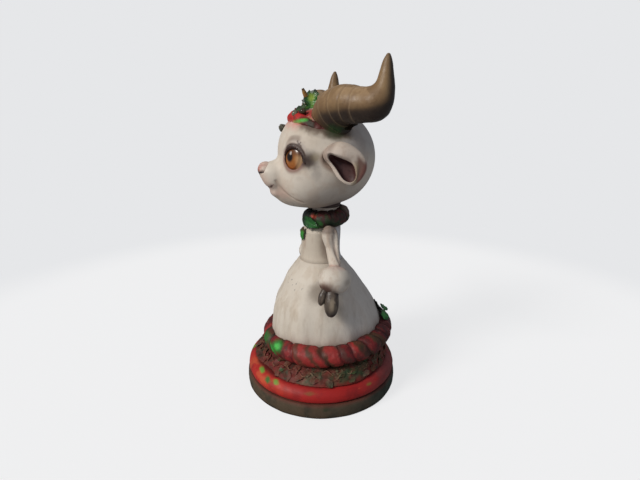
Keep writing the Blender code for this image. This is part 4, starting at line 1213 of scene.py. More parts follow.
HEM_LEAVES = (      # base, tip, normal, width, tones
    ((9.0, 39.0, 44.4), (5.0, 35.8, 52.8), (0.15, 0.85, 0.5), 7.0,
     ((34, 40, 26), BLACK_GREEN, (70, 84, 50))),
    ((17.0, 38.2, 43.4), (8.0, 42.4, 45.4), (0.25, 0.6, 0.7), 7.6,
     (GREEN, DARK_GREEN, LIGHT_GREEN)),
    ((4.6, 43.4, 43.8), (-5.0, 46.8, 42.6), (0.1, 0.5, 0.8), 6.6,
     (GREEN, DARK_GREEN, LIGHT_GREEN)))
for i, (base, tip, normal, width, tones) in enumerate(HEM_LEAVES):
    paint = build_leaf(
        "hem_leaf_holly_%d" % (i + 1), "body", "hem_leaf_%d" % (i + 1), tones, seed=5 + i,
        base=base, tip=tip, normal=normal, width=width, spine=0.3, wave=0.05,
        rows=54, columns=16)
    if i == 1:
        paint.mottle((150, 40, 34), fade(9, 12, paint.x) * 0.6, 0.4, 0.6, 2, 5)
    paint.store()


# ======================================================================================
# head
# ======================================================================================
def head_base(points):
    half = fold_x(points)
    skull = ellipsoid(points, (0, 4.2, 147.6), (28.6, 28.3, 28.2))
    skull = merge(skull, ellipsoid(points, (0, -3.8, 153.5), (22.5, 20.0, 20.5)), 8)
    skull = merge(skull, ellipsoid(half, (8.6, -8.0, 134.8), (15.3, 16.5, 15.6)), 7)
    snout = merge(ellipsoid(points, (0, -22.0, 139.9), (8.8, 15.4, 7.2)),
                  ellipsoid(points, (0, -13.0, 131.8), (12.0, 17.8, 13.6)), 6)
    snout = merge(snout, ellipsoid(half, (1.6, -29.2, 135.8), (6.2, 5.6, 4.6)), 4)
    snout = merge(snout, ellipsoid(points, (0, -29.0, 139.6), (7.0, 6.2, 4.9)), 3)
    return merge(skull, snout, 4.2)


def first_hit(field, origin, direction, start, end):
    """First crossing of field = 0 along the ray, from start (outside) towards end."""
    origin, direction = np.asarray(origin, float), np.asarray(direction, float)
    steps = np.linspace(start, end, 240)
    i = int(np.argmax(field(origin + steps[:, None] * direction) < 0))
    outside, inside = steps[i - 1], steps[i]
    for _ in range(25):
        middle = (outside + inside) / 2
        if field((origin + middle * direction)[None])[0] < 0:
            inside = middle
        else:
            outside = middle
    return origin + inside * direction


# left eye frame: along the opening, up it and out of the head
EYE_OUT = unit((0.60, -0.80, 0.03))
EYE_ALONG = unit(np.cross((0, 0, 1), EYE_OUT))
EYE_UP = np.cross(EYE_OUT, EYE_ALONG)
EYE_AXES = np.array([EYE_ALONG, EYE_UP, EYE_OUT])
EYE_FACE = first_hit(head_base, (16.9, -20.8, 148.9), EYE_OUT, 8, -12)
EYE_CENTRE = EYE_FACE - 3.1 * EYE_OUT
EYE_RADII = np.array((7.4, 7.8, 3.5))


def eye_frame(points):
    offset = (points - EYE_FACE) @ EYE_AXES.T
    return offset[..., 0], offset[..., 1], offset[..., 2]


def eye_point(along, up, out=0.0):
    return EYE_FACE + EYE_ALONG * along + EYE_UP * up + EYE_OUT * out


def eye_opening(along, up):
    """Almond opening between the lids, about a distance in millimetres."""
    upper = (np.sqrt(((along - 0.9) / 6.7) ** 2 + ((up + 1.2) / 7.6) ** 2) - 1) * 6.6
    lower = (np.sqrt(((along - 0.6) / 6.8) ** 2 + ((up - 0.9) / 6.9) ** 2) - 1) * 6.7
    return np.maximum(upper, lower)


def on_head(*points):
    """Points moved on to the head surface."""
    moved = []
    for point in points:
        point = np.array(point, float)
        for _ in range(12):
            slope = gradient(head_base, point[None])[0]
            point = point - head_base(point[None])[0] * slope / max(slope @ slope, 1e-6)
        moved.append(point)
    return np.array(moved)


MOUTH = on_head((0, -35.0, 130.4), (1.7, -34.8, 129.8), (3.4, -34.0, 129.5), (5.0, -32.8, 130.1),
                (6.2, -31.4, 131.6), (6.6, -30.9, 132.6))
SMILE = on_head((6.6, -30.9, 132.6), (7.0, -30.4, 133.2), (7.2, -30.0, 133.8))
LIP_LINE = on_head((0, -37.0, 136.6), (0, -35.4, 133.4), (0, -33.6, 131.0))
CHEEK_CREASE = on_head((8.4, -28.4, 135.6), (9.2, -27.6, 132.6), (10.8, -26.4, 129.8),
                       (13.2, -24.2, 127.2), (16.4, -20.4, 124.8), (18.6, -15.6, 122.8))

# left ear frame: along its length, across it and out of its cup
EAR_ALONG = unit((0.38, 0.86, -0.34))
EAR_ACROSS = -unit(np.cross(EAR_ALONG, (0.86, -0.30, 0.20)))
EAR_OUT = unit(np.cross(EAR_ALONG, EAR_ACROSS))
EAR_CENTRE = np.array((33.0, 6.6, 148.0))
EAR_BED = EAR_CENTRE - 4.5 * EAR_ALONG - 2.0 * EAR_ACROSS - 0.7 * EAR_OUT


def ear_bed(points):
    """Shallow bed behind the ear cup."""
    return ellipsoid(points, EAR_BED, (9.2, 5.6, 3.8), (EAR_ALONG, EAR_ACROSS, EAR_OUT))


def eye_tube(points, rows):
    """Tube through rows (along, up, out, radius) of the eye frame."""
    return tube(points, [(*eye_point(*row[:3]), row[3]) for row in rows])


def head_field(points):
    half = fold_x(points)
    along, up, out = eye_frame(half)
    solid = head_base(points)
    solid = merge(solid, ellipsoid(half, EYE_CENTRE, EYE_RADII + 0.62, EYE_AXES), 2.0)
    # brow ridge over the eye, and the soft pouch under it
    solid = merge(solid, eye_tube(half, (
        (-5.5, 4.8, -2.7, 1.6), (-1.5, 8.4, -2.4, 1.9), (4.5, 7.2, -3.1, 1.8),
        (8.6, 2.2, -4.0, 1.4))), 2.8)
    solid = merge(solid, eye_tube(half, (
        (-3.6, -6.8, -2.9, 1.5), (1.0, -8.2, -2.7, 1.7), (5.6, -6.0, -3.5, 1.4))), 2.8)
    # lower lip, mouth and creases
    solid = merge(solid, ellipsoid(points, (0, -28.4, 127.8), (5.0, 2.4, 1.8)), 2.8)
    solid = carve(solid, tube(half, with_radius(MOUTH, 0.42)), 0.6)
    lifted_crease = CHEEK_CREASE + 0.35 * unit(CHEEK_CREASE - (0, 0, 140))
    solid = carve(solid, tube(half, with_radius(lifted_crease, 0.36)), 1.4)
    solid = carve(solid, tube(half, with_radius(LIP_LINE, 0.34)), 0.8)
    solid = carve(solid, ear_bed(half), 0.8)
    # seat boss over the neck
    x, y, z = points[..., 0], points[..., 1], points[..., 2]
    from_axis = np.sqrt(x ** 2 + (y - AXIS_Y) ** 2)
    solid = merge(solid, np.maximum(from_axis - 9.0, np.abs(z - 122.0) - 3.8), 1.6)
    # lids, and the socket behind them
    gap = np.maximum(np.maximum(eye_opening(along, up), -(out + 3.2)), out - 12)
    solid = carve(solid, gap, 0.7)
    solid = np.maximum(solid, -ellipsoid(half, EYE_CENTRE, EYE_RADII + 0.14, EYE_AXES))
    # hollow inside, and the bore for the neck
    solid = np.maximum(solid, -ellipsoid(points, (0, 3.6, 147.0), (22.6, 21.8, 21.6)))
    solid = np.maximum(solid, -np.maximum(from_axis - 6.5, z - 128))
    return carve(solid, np.maximum(from_axis - 9.35, z - 118.15), 0.3)


CROWN_FROM = np.array((0, -2, 143))


def crown_point(angle):
    """Point of the head under the crown band; angle 0 is the middle of the brow."""
    sin, cos = math.sin(angle), math.cos(angle)
    aim = np.array((24.0 * sin, 1.6 - 18.0 * cos, 169.0 + 3.6 * cos - 3.2 * abs(sin)))
    return first_hit(head_base, CROWN_FROM, unit(aim - CROWN_FROM), 60, 15)


HEAD_CELL = 0.5
paint = build("head_modelled",
              surface_net(head_field, (-30.5, -39.5, 114), (30.5, 34.5, 178), HEAD_CELL),
              "head", "head_shell", CREAM_PAINT, (224, 213, 198))
x, y, z = paint.x, paint.y, paint.z
paint.mottles(
    ((208, 186, 164), 0.4, 0.50, 0.70, 8, 110, 3),
    ((184, 168, 152), 0.22, 0.54, 0.76, 5.0, 111, 3))
# painted cool shade: blue-grey over the back and top of the head, above and behind the ears
paint.over((140, 142, 152), ease(0, 14, y + 0.35 * (z - 150)) * ease(144, 158, z) * 0.45)
# painted shade under the jaw and over the lower back of the head
paint.over((146, 134, 124), fade(121, 136, z) * ease(-22, -6, y) * 0.6)
paint.blots(
    ((198, 182, 162), 0.6, (19.5, -14.0, 160.5), (10, 8, 7), 0.7, 0.2),
    ((233, 222, 206), 0.5, (4, -25, 150), (8, 10, 12), 0.7, 0.1),
    # muzzle pinks
    (PINK, 0.32, (3.0, -30.6, 127.8), (6.0, 5.0, 2.4), 0.6, 0.2, 2.0, 112),
    ((214, 176, 158), 0.5, (2.6, -36.0, 135.0), (5.0, 5.0, 4.6), 0.7, 0.2, 2.0, 113),
    ((196, 140, 126), 0.32, (9.6, -25.8, 128.4), (4.0, 5.0, 4.0), 0.7, 0.3, 2.0, 114))
paint.strokes(
    ((96, 50, 42), 0.9, MOUTH, 0.62, 0.5, 0.1),
    ((132, 92, 78), 0.6, SMILE, 0.4, 0.7, 0.1),
    ((150, 112, 96), 0.35, MOUTH, 1.9, 0.7, 0.2),
    ((160, 138, 120), 0.45, CHEEK_CREASE, 0.9, 0.7, 0.2))
# eye surround
along, up, out = eye_frame(paint.folded)
opening = eye_opening(along, up)
front = ease(-4.5, -2.5, out)
upper = ease(-2.0, 3.0, up)
paint.over((150, 118, 104), fade(0.8, 3.6, opening) * front * 0.55)
paint.over((138, 92, 80), fade(0.4, 2.4, opening) * front * (1 - upper) * 0.7)
paint.over((58, 38, 34), fade(1.3, 2.5, opening) * front * upper * ease(-6.8, -3.0, along) * 0.95)
# painted highlight: a pale line along the upper lid
paint.over((190, 178, 168),
           fade(0.35, 0.8, np.abs(opening - 3.0)) * front * upper * ease(-5, 0, along) * 0.5)
paint.over((126, 104, 92), fade(0.5, 1.6, np.abs(opening - 4.4)) * front * ease(1.5, 6.0, up)
           * ease(-6, -1, along) * fade(3, 7, along) * 0.5)
paint.strokes(((128, 108, 96), 0.35, [eye_point(-4.5, 8.4), eye_point(-0.5, 10.4, -1),
                                      eye_point(3.5, 10.0, -2)], 1.3, 0.8, 0.4))
paint.blots(
    ((86, 72, 64), 0.9, (24.3, -12.4, 148.6), (4.2, 5.0, 4.2), 0.7, 0.25, 2.0, 115),
    ((68, 54, 48), 0.85, (23.6, -13.4, 147.6), (2.6, 3.0, 2.8), 0.7, 0.3, 1.6, 116),
    ((142, 126, 92), 0.5, (25.8, -9.0, 150.4), (2.2, 2.6, 2.4), 0.7, 0.3, 2.0, 117),
    ((148, 140, 134), 0.45, (26.2, -9.0, 142.0), (2.4, 2.6, 4.0), 0.8, 0.3, 2.0, 118))
for start, end in (((6.4, 4.6), (8.6, 6.6)), ((7.3, 3.4), (9.6, 4.6)), ((5.2, 5.6), (6.6, 8.4)),
                   ((7.9, 2.0), (10.2, 2.6))):
    paint.stroke((82, 60, 52), 0.6, [eye_point(*start, -1.2), eye_point(*end, -2.6)],
                 radius=0.42, soft=0.7, wobble=0.1)
# thin broken lines over the left eye: (along, up) points, width
eye_plane = np.stack([along, up], -1)
for line, width in (
        (((3.2, 9.6), (4.3, 8.2), (4.1, 6.9), (5.2, 5.9)), 0.42),
        (((4.3, 8.2), (5.8, 7.2), (6.4, 5.5), (7.6, 4.3), (8.4, 2.6)), 0.45),
        (((2.8, 7.6), (4.6, 7.7), (5.4, 9.0)), 0.36)):
    away = functools.reduce(np.minimum, (capsule(eye_plane, start, end, 0.0, 0.0)
                                         for start, end in zip(line[:-1], line[1:])))
    paint.over((78, 58, 50), fade(width * 0.4, width * 1.6, away) * ease(-10, -8, out)
               * (x > 0) * 0.8)
paint.over((158, 134, 118), fade(0.4, 2.4, ear_bed(paint.folded)) * 0.8)
paint.over((62, 40, 36),
           fade(9.6, 10.6, np.hypot(x, y - AXIS_Y)) * fade(120.2, 122.4, z) * 0.9)
# crown stain: red bleeding down on to the brow, dark green and brown under the horns
crown_line = [crown_point(math.radians(-112 + 224 * i / 60)) for i in range(61)]
from_crown = tube(paint.points, with_radius(crown_line, 0.0)) + paint.wander(3.2, 3.0, 119, 3)
outer = ease(17, 22, paint.folded[:, 0] - 0.3 * y)
brow = (1 - outer) * fade(2, 8, y)
paint.over((222, 158, 144), fade(4.5, 9.5, from_crown) * brow * 0.8)
paint.over((200, 84, 74), fade(3.2, 5.6, from_crown) * brow * 0.8)
paint.blots(((168, 36, 34), 0.9, (10.0, -9.0, 173.4), (6.5, 5.0, 4.0), 0.5, 0.3, 2.0, 124))
paint.mottle((216, 196, 182), fade(4.0, 7.0, from_crown) * (1 - outer) * 0.7,
             0.50, 0.62, 2.6, 123, 3)
paint.over((140, 124, 106), fade(4.5, 8.0, from_crown) * outer * fade(9, 15, y) * 0.7)
paint.over((84, 60, 44), fade(3.0, 6.2, from_crown) * outer * fade(8, 13, y) * 0.8)
paint.blots(
    ((40, 62, 34), 0.7, (24, 2, 163), (4.5, 5.0, 3.6), 0.6, 0.3, 2.0, 120),
    (LIGHT_GREEN, 0.85, (14.6, -12.6, 168.8), (3.6, 3.0, 1.7), 0.6, 0.4, 1.6, 121),
    ((172, 176, 150), 0.6, (4.5, -21.6, 168.0), (2.0, 2.0, 1.6), 0.6, 0.3, 2.0, 122))
paint.store()


# --- eyes and lash rolls --------------------------------------------------------------
def eye_material():
    shader = Shader("eye_amber_glass")
    colour = shader.node("Attribute", attribute_name="paint").outputs["Color"]
    fibres = shader.noise(2300, distort=0.4)
    colour = shader.tint(shader.mul(shader.step(fibres, 0.52, 0.70), 0.30), colour,
                         (0.55, 0.40, 0.30))
    colour = shader.tint(shader.mul(shader.step(fibres, 0.46, 0.30), 0.18), colour,
                         (1.25, 1.15, 1.0))
    height = shader.noise(900, detail=2, rough=0.5)
    return shader.finish(colour, shader.remap(fibres, 0.3, 0.7, 0.20, 0.28),
                         shader.bump(height, 0.05, 0.0002), spec=0.4,
                         extra={"Coat Weight": 0.22, "Coat Roughness": 0.12})


def paint_eye(paint):
    """Amber iris with a dark rim, a dark pupil, a painted catch light and painted shade under the
    upper lid.
    """
    along, up, _ = eye_frame(paint.folded)
    iris_x, iris_y = along + 1.6, up - 0.9
    radius = np.hypot(iris_x, iris_y / 1.08)
    turn = np.arctan2(iris_y, iris_x)
    fibres = layered_noise(np.stack([turn * 5.0, radius * 0.55, 0 * radius], 1), 0.35, 130, 3)
    iris = fade(5.6, 6.8, radius)
    # the rows that darken the top of the eye are painted shade under the upper lid; the pale spot is a
    # painted highlight, the catch light
    for colour, mask in (
            ((160, 104, 60), fade(6.4, 7.4, radius)),
            ((176, 114, 56), iris * 0.9),
            ((158, 92, 40), ease(0.42, 0.62, fibres) * fade(5.8, 6.8, radius) * 0.55),
            ((214, 172, 128), ease(1.0, 5.0, along) * iris * 0.55),
            ((168, 92, 34), fade(-5.0, -0.5, up) * fade(5.8, 6.8, radius) * 0.7),
            ((86, 46, 26), fade(0.35, 0.9, np.abs(radius - 6.5)) * 0.6),
            ((84, 48, 30), ease(-0.6, 4.0, up) * 0.75),
            ((54, 32, 24), fade(1.6, 3.4, radius)),
            ((20, 12, 10), fade(1.2, 2.4, radius)),
            ((60, 34, 24), fade(-6.0, -4.4, along) * 0.8),
            ((52, 30, 24), ease(4.0, 6.0, up) * 0.9),
            ((226, 214, 204), fade(0.35, 1.1, np.hypot(along + 0.9, (up - 3.0) * 0.8)) * 0.8),
            ((212, 176, 132), ease(1.6, 4.6, along) * fade(0.5, 3.0, up) * 0.45)):
        paint.over(colour, mask)
    paint.store()


def lash_roll():
    """Roll along the upper lid, thick in the middle and drawn out past the outer corner."""
    def lid_and_eye(points):
        eye = ellipsoid(fold_x(points), EYE_CENTRE, EYE_RADII, EYE_AXES)
        return np.minimum(head_field(points), eye)

    rows = []
    for share in np.linspace(0, 1, 15):
        angle = math.radians(160 - 170 * share)
        along, up = 0.9 + 6.95 * math.cos(angle), -1.2 + 7.75 * math.sin(angle)
        if share > 0.93:
            along, up = along + 0.9, up + 0.2
        point = first_hit(lid_and_eye, eye_point(along, up), EYE_OUT, 5, -9)
        radius = 0.26 + 0.95 * math.sin(math.pi * min(1, 0.05 + 0.88 * share)) ** 0.9
        rows.append((*(point - 0.22 * EYE_OUT), radius))
    return sweep(spline(rows, 6), 22,
                 lambda share, a: 1 + 0.06 * np.sin(3 * a + 40 * share) + 0.05 * np.sin(90 * share))


EYE_GLASS = eye_material()
eye_mesh = ball(EYE_CENTRE, EYE_RADII, 150, 96, axes=EYE_AXES)
lash_mesh = lash_roll()
for side, sign in SIDES:
    paint = build("eye_glass_" + side, eye_mesh, "head", "eye_" + side, None,
                  (178, 142, 108), sign=sign)
    paint_eye(paint)
    paint.obj.data.materials.append(EYE_GLASS)

    paint = build("eyelid_roll_" + side, lash_mesh, "head", "eyelid_" + side,
                  LASH_PAINT, (72, 46, 38), sign=sign)
    paint.mottles(((40, 26, 22), 0.7, 0.45, 0.65, 1.6, 131, 3))
    along, up, _ = eye_frame(paint.folded)
    # painted highlight: a pale line along the lid roll, on its upper part
    paint.over((150, 138, 130),
               fade(0.15, 0.5, np.abs(eye_opening(along, up) - 1.15)) * ease(-3, 2, up) * 0.6)
    paint.store()


# --- nose pad: a soft heart with two comma nostrils -----------------------------------
def nose_field(points):
    half = fold_x(points)
    solid = ellipsoid(points, (0, -33.4, 141.4), (5.0, 4.7, 4.6))
    solid = merge(solid, ellipsoid(half, (2.5, -34.6, 140.8), (2.3, 2.8, 2.5)), 1.8)
    solid = carve(solid, tube(points, [(0, -38.2, 143.6, 0.25), (0, -38.5, 140.6, 0.28),
                                       (0, -36.8, 137.8, 0.28)]), 0.7)
    solid = carve(solid, tube(half, [(2.0, -37.9, 139.4, 0.35), (3.2, -37.0, 139.0, 0.6),
                                     (4.1, -36.0, 139.6, 0.4)]), 0.9)
    return np.maximum(solid, -(head_base(points) + 0.5))


paint = build("nose_pad",
              surface_net(nose_field, (-6.5, -40.5, 135.5), (6.5, -27, 147.5), 0.24, relax=1),
              "head", "nose", NOSE_PAINT, (220, 204, 188))
from_tip = np.linalg.norm(paint.points - (0, -38.4, 141.6), axis=1)
paint.over((206, 158, 144), fade(2.0, 5.6, from_tip) * 0.9)
paint.over((218, 186, 170), ease(140.5, 144, paint.z - 0.4 * (paint.y + 37)) * 0.75)
paint.blots(((192, 122, 112), 0.7, (1.0, -38.0, 141.4), (2.6, 2.0, 2.2), 0.7, 0.2, 2.0, 142))
paint.mottles(((172, 104, 98), 0.4, 0.5, 0.7, 1.6, 141, 3))
paint.over((206, 178, 160), fade(136.6, 138.4, paint.z) * 0.8)
paint.strokes(
    ((52, 22, 20), 0.97, [(1.4, -38.0, 139.2), (3.0, -37.2, 139.0), (4.0, -36.2, 139.6)],
     1.7, 0.6, 0.1),
    ((124, 66, 62), 0.7, [(0, -38.2, 143.0), (0, -38.3, 140.2), (0, -37.0, 137.8)],
     0.5, 0.6, 0.1))
paint.store()

# --- ears: cup with a thick lip folded over from the top, thin rim below ---------------
# outlines in the ear frame: (along, across)
EAR_OUTLINE = (
    (10.9, -1.5), (10.5, 1.6), (9.0, 4.5), (5.6, 7.0), (2.5, 8.3), (-0.7, 9.1), (-4.2, 9.5),
    (-7.8, 8.9), (-11.0, 6.8), (-13.4, 3.6), (-14.2, 0.0), (-12.6, -3.0), (-8.2, -5.2),
    (-4.8, -7.9), (-1.3, -10.2), (3.1, -11.2), (7.2, -10.2), (9.9, -6.2))
EAR_HOLLOW = (
    (4.5, -3.8), (2.7, -1.0), (0.8, 0.5), (-2.0, 1.1), (-4.8, 1.6), (-8.3, 1.6), (-11.2, 1.2),
    (-12.2, -0.4), (-11.2, -2.0), (-8.2, -3.7), (-5.4, -5.5), (-0.9, -8.6), (2.8, -9.1),
    (4.8, -7.4), (5.0, -5.4))
# the hollow is moved along and across the ear, and its upper edge cut flat
EAR_HOLLOW = tuple((along + 1.7, min(across, 0.9) - 0.5) for along, across in EAR_HOLLOW)
EAR_MIDDLE = np.array((-0.6, -3.6))
EAR_SIDES = 132


def polar_radius(outline, angles):
    """Radius of a closed outline about the ear's middle."""
    offset = closed_spline(outline, 16) - EAR_MIDDLE
    outline_angles = np.arctan2(offset[:, 1], offset[:, 0])
    order = np.argsort(outline_angles)
    radii, turns = np.hypot(offset[:, 0], offset[:, 1])[order], outline_angles[order]
    return np.interp(angles, np.concatenate([turns - TURN, turns, turns + TURN]),
                     np.tile(radii, 3))


def ear_mesh():
    angles = np.linspace(-np.pi, np.pi, EAR_SIDES, endpoint=False)

    def near_angle(degrees, spread):
        return np.exp(-(((angles - math.radians(degrees)) / spread) ** 2))

    hollows = polar_radius(EAR_HOLLOW, angles)
    outers = np.maximum(polar_radius(EAR_OUTLINE, angles), hollows + 1.3)
    tops, rights = near_angle(118, 0.95), near_angle(12, 0.75)
    lefts = near_angle(155, 0.55) + near_angle(-205, 0.55)
    sections = []
    for outer, hollow, top, right, left in zip(outers, hollows, tops, rights, lefts):
        wall = outer - hollow
        rim = -1.2 - 0.6 * right
        crest = 0.9 + 3.3 * top + 0.5 * right + 1.5 * left
        edge = 0.2 + 1.9 * top + 0.4 * right + 0.6 * left
        sections.append(spline((      # radius, height: from the back, over the lip, into the cup
            (0.0, -5.2), (outer * 0.40, -4.9), (outer * 0.72, -3.9),
            (outer * 0.93, -2.5 + 0.2 * rim), (outer, rim * 0.5 - 0.2),
            (outer - 0.10 * wall - 0.15, 0.10 + 0.30 * crest),
            (hollow + 0.66 * wall, 0.62 * crest + 0.5 * top),
            (hollow + 0.40 * wall, crest * (0.9 - 0.30 * right)),
            (hollow + 0.14 * wall, crest * 0.92), (hollow, edge),
            (hollow + 0.25 + 0.9 * top, edge - 1.1), (hollow * 0.93 + 0.5 * top, edge - 2.0),
            (hollow * 0.75, -2.6), (hollow * 0.45, -3.3), (0.0, -3.5)), 4))
    sections = np.array(sections)
    rings = []
    for j in range(1, sections.shape[1] - 1):
        radius, height = sections[:, j, 0], sections[:, j, 1]
        along = EAR_MIDDLE[0] + radius * np.cos(angles)
        across = EAR_MIDDLE[1] + radius * np.sin(angles)
        bow = -0.018 * along ** 2 * (along > 0) - 0.010 * across ** 2
        rings.append(EAR_CENTRE + along[:, None] * EAR_ALONG + across[:, None] * EAR_ACROSS
                     + (height + bow)[:, None] * EAR_OUT)
    return loft(rings), len(rings)


mesh, ear_rows = ear_mesh()
# share from the middle of the back (0) over the lip to the middle of the cup (1)
inward = np.concatenate([np.repeat(np.arange(ear_rows), EAR_SIDES), [0, ear_rows - 1]])
inward = inward / (ear_rows - 1)
for side, sign in SIDES:
    paint = build("ear_cupped_" + side, mesh, "head", "ear_" + side, EAR_PAINT,
                  (222, 206, 190), sign=sign)
    offset = paint.folded - EAR_CENTRE
    along, across = offset @ EAR_ALONG, offset @ EAR_ACROSS
    paint.mottles(((196, 172, 152), 0.4, 0.5, 0.7, 3.4, 151, 3))
    far = ease(3.2, 6.2, along + 0.25 * across + paint.wander(1.2, 2.5, 152, 3))
    cup = ease(0.665, 0.70, inward)
    paint.over((108, 72, 60), far * fade(5.0, 8.0, across + 0.4 * along)
               * ease(0.30, 0.36, inward) * 0.9)
    paint.over((150, 92, 82), far * ease(7.5, 9.6, along) * ease(0.28, 0.34, inward) * 0.6)
    paint.over((164, 148, 118), fade(0.6, 2.2, np.abs(along - 4.6 + 0.25 * across))
               * fade(-1, 3, across) * 0.6)
    paint.over((196, 160, 142), ease(0.60, 0.66, inward) * 0.4)
    paint.over((70, 34, 34), cup * 0.97)
    paint.mottle((44, 20, 22), cup * 0.6, 0.45, 0.62, 2.4, 153, 3)
    paint.over((112, 62, 56), cup * fade(-9, -4.5, along) * 0.4)
    paint.over((196, 172, 154), fade(0.22, 0.30, inward) * 0.3)
    paint.over(GREY_BROWN, fade(0.0, 0.22, inward) * 0.35)
    paint.over((110, 78, 66), fade(2.5, 6.0, along + 14) * 0.5)
    paint.store()

# --- horns: stout, ringed at the root, sweeping out and back, then straight up ---------
HORN_ROWS = (       # x, y, z, radius
    (8.0, 0.6, 163.0, 8.8), (9.6, 0.8, 166.2, 9.3), (13.6, 1.2, 170.8, 10.0),
    (20, 2.8, 175.2, 10.4), (28, 6.2, 177.2, 10.1), (35.2, 10.5, 176.9, 9.1),
    (41.5, 15.4, 176.8, 8.1), (46.0, 19.6, 178.8, 7.1), (46.7, 20.4, 184.6, 5.1),
    (46.9, 20.8, 190.6, 3.7), (47.0, 21.1, 195.8, 2.6), (47.0, 21.4, 199.0, 1.25))
HORN_SWEEP = spline(HORN_ROWS[:7] + ((43.0, 16.7, 177.8, 7.2),), 5)
HORN_POINT = spline((
    (43.9, 17.5, 177.6, 7.1), (45.6, 19.2, 181.0, 6.1), (46.5, 20.3, 185.0, 4.9),
    (46.8, 20.7, 190.6, 3.6), (46.9, 21.0, 195.8, 2.5), (46.9, 21.3, 199.0, 1.15)), 5)
HORN_RINGS = ((10.5, 0.10), (16.5, 0.16), (23.5, 0.15), (30.0, 0.12), (35.5, 0.08))  # place, depth


def horn_field(points):
    solid = merge(tube(points, HORN_SWEEP), tube(points, HORN_POINT), 4.5)
    return merge(solid, tube(points, [(17.0, 4.4, 166.4, 9.0), (19.0, 3.4, 172.0, 10.0)]), 2.5)


def along_horn(points):
    """Distance along the horn, and direction away from its middle line."""
    line = spline(HORN_ROWS, 18)[:, :3]
    line_length = np.concatenate([[0], np.cumsum(np.linalg.norm(np.diff(line, axis=0), axis=1))])
    tangents = unit(np.gradient(line, axis=0))
    length, offset = np.empty(len(points)), np.empty_like(points)
    batch = 4000
    for i in range(0, len(points), batch):
        part = points[i:i + batch]
        nearest = np.argmin(((part[:, None] - line[None]) ** 2).sum(-1), 1)
        away = part - line[nearest]
        offset[i:i + batch] = away
        length[i:i + batch] = line_length[nearest] + (away * tangents[nearest]).sum(-1)
    return length, unit(offset)


points, faces = surface_net(horn_field, (-2, -14, 154), (54, 31, 202), 0.52)
length, away = along_horn(points)
lift = np.zeros(len(points))
shift = 1.1 * (layered_noise(points, 9, 160, 2) - 0.5)
for place, depth in HORN_RINGS:
    from_ring = length - place + shift
    lift += (-depth * np.exp(-(from_ring / 0.75) ** 2)
             + depth * 0.7 * np.exp(-((from_ring - 2.2) / 2.0) ** 2))
lift += 0.28 * (layered_noise(points, 5.0, 161, 3) - 0.5)
horn_mesh = points + unit(gradient(horn_field, points)) * lift[:, None], faces
for side, sign in SIDES:
    paint = build("horn_ringed_" + side, horn_mesh, "head", "horn_" + side,
                  HORN_PAINT, (150, 121, 85), sign=sign)
    # the second mottling is a painted highlight, lighter on the top of the horn
    paint.mottles(
        ((128, 99, 67), 0.6, 0.46, 0.68, 9, 163),
        ((186, 156, 120), ease(0.2, 0.9, away[:, 2]) * 0.6, 0.58, 0.4, 7, 164, 3))
    # painted shade: darker on the underside of the lying part, darkest further out, and on the back of
    # the upright point
    under = ease(0.25, -0.65, away[:, 2] + paint.wander(0.25, 5, 165, 3))
    lying = fade(48, 58, length)
    paint.over((66, 50, 37), under * lying * 0.95)
    paint.over((52, 42, 36), ease(0.4, 0.9, under) * lying * ease(10, 22, length) * 0.8)
    paint.over((38, 32, 29), ease(-0.1, 0.7, away[:, 1] * 0.8 + away[:, 0] * 0.35)
               * ease(42, 52, length) * 0.92)
    paint.over((92, 76, 60), ease(58, 74, length) * 0.45)
    paint.over((48, 38, 34), ease(72, 80, length) * 0.7)
    paint.over((122, 88, 60), fade(6, 18, length) * 0.5)
    paint.over((72, 34, 26), fade(6.0, 12.0, length + paint.wander(3.0, 4, 167, 3)) * 0.75)
    paint.blots(((34, 84, 38), 0.75, (24.0, 2.0, 165.4), (4.5, 4.5, 3.4), 0.6, 0.35, 2.0, 168))
    shift = paint.wander(0.8, 4, 166, 3)
    for place, _ in HORN_RINGS:
        from_ring = length - place + shift
        paint.over((92, 70, 50), fade(0.2, 0.9, np.abs(from_ring)) * 0.28)
        paint.over((190, 164, 130), fade(0.15, 0.6, np.abs(from_ring - 0.8)) * 0.22)
    paint.store()

# --- crown band: crumpled ribbon of red and green lying on the brow --------------------
CROWN_STEPS = 150
rows = []
for i in range(CROWN_STEPS + 1):
    angle = math.radians(-112 + 224 * i / CROWN_STEPS)
    point = crown_point(angle)
    taper = min(1.0, 0.35 + 3.2 * min(i, CROWN_STEPS - i) / CROWN_STEPS)
    middle = math.exp(-(angle / 0.78) ** 2)
    radius = (2.7 + 1.5 * middle) * taper
    rows.append((*(point + (0.35 + 2.5 * middle - radius) * unit(point - CROWN_FROM)), radius))


def crumple(share, angles):
    phase = 15 * share + ((angles + math.pi) % TURN) / TURN
    part = phase - np.floor(phase)
    edge = np.minimum(part, 1 - part)
    amount = 0.22 + 0.78 * math.exp(-(((share - 0.5) / 0.16) ** 2))
    return 0.96 + amount * (0.06 * np.sin(np.pi * part) ** 0.6 - 0.08 * np.exp(-(edge / 0.11) ** 2))


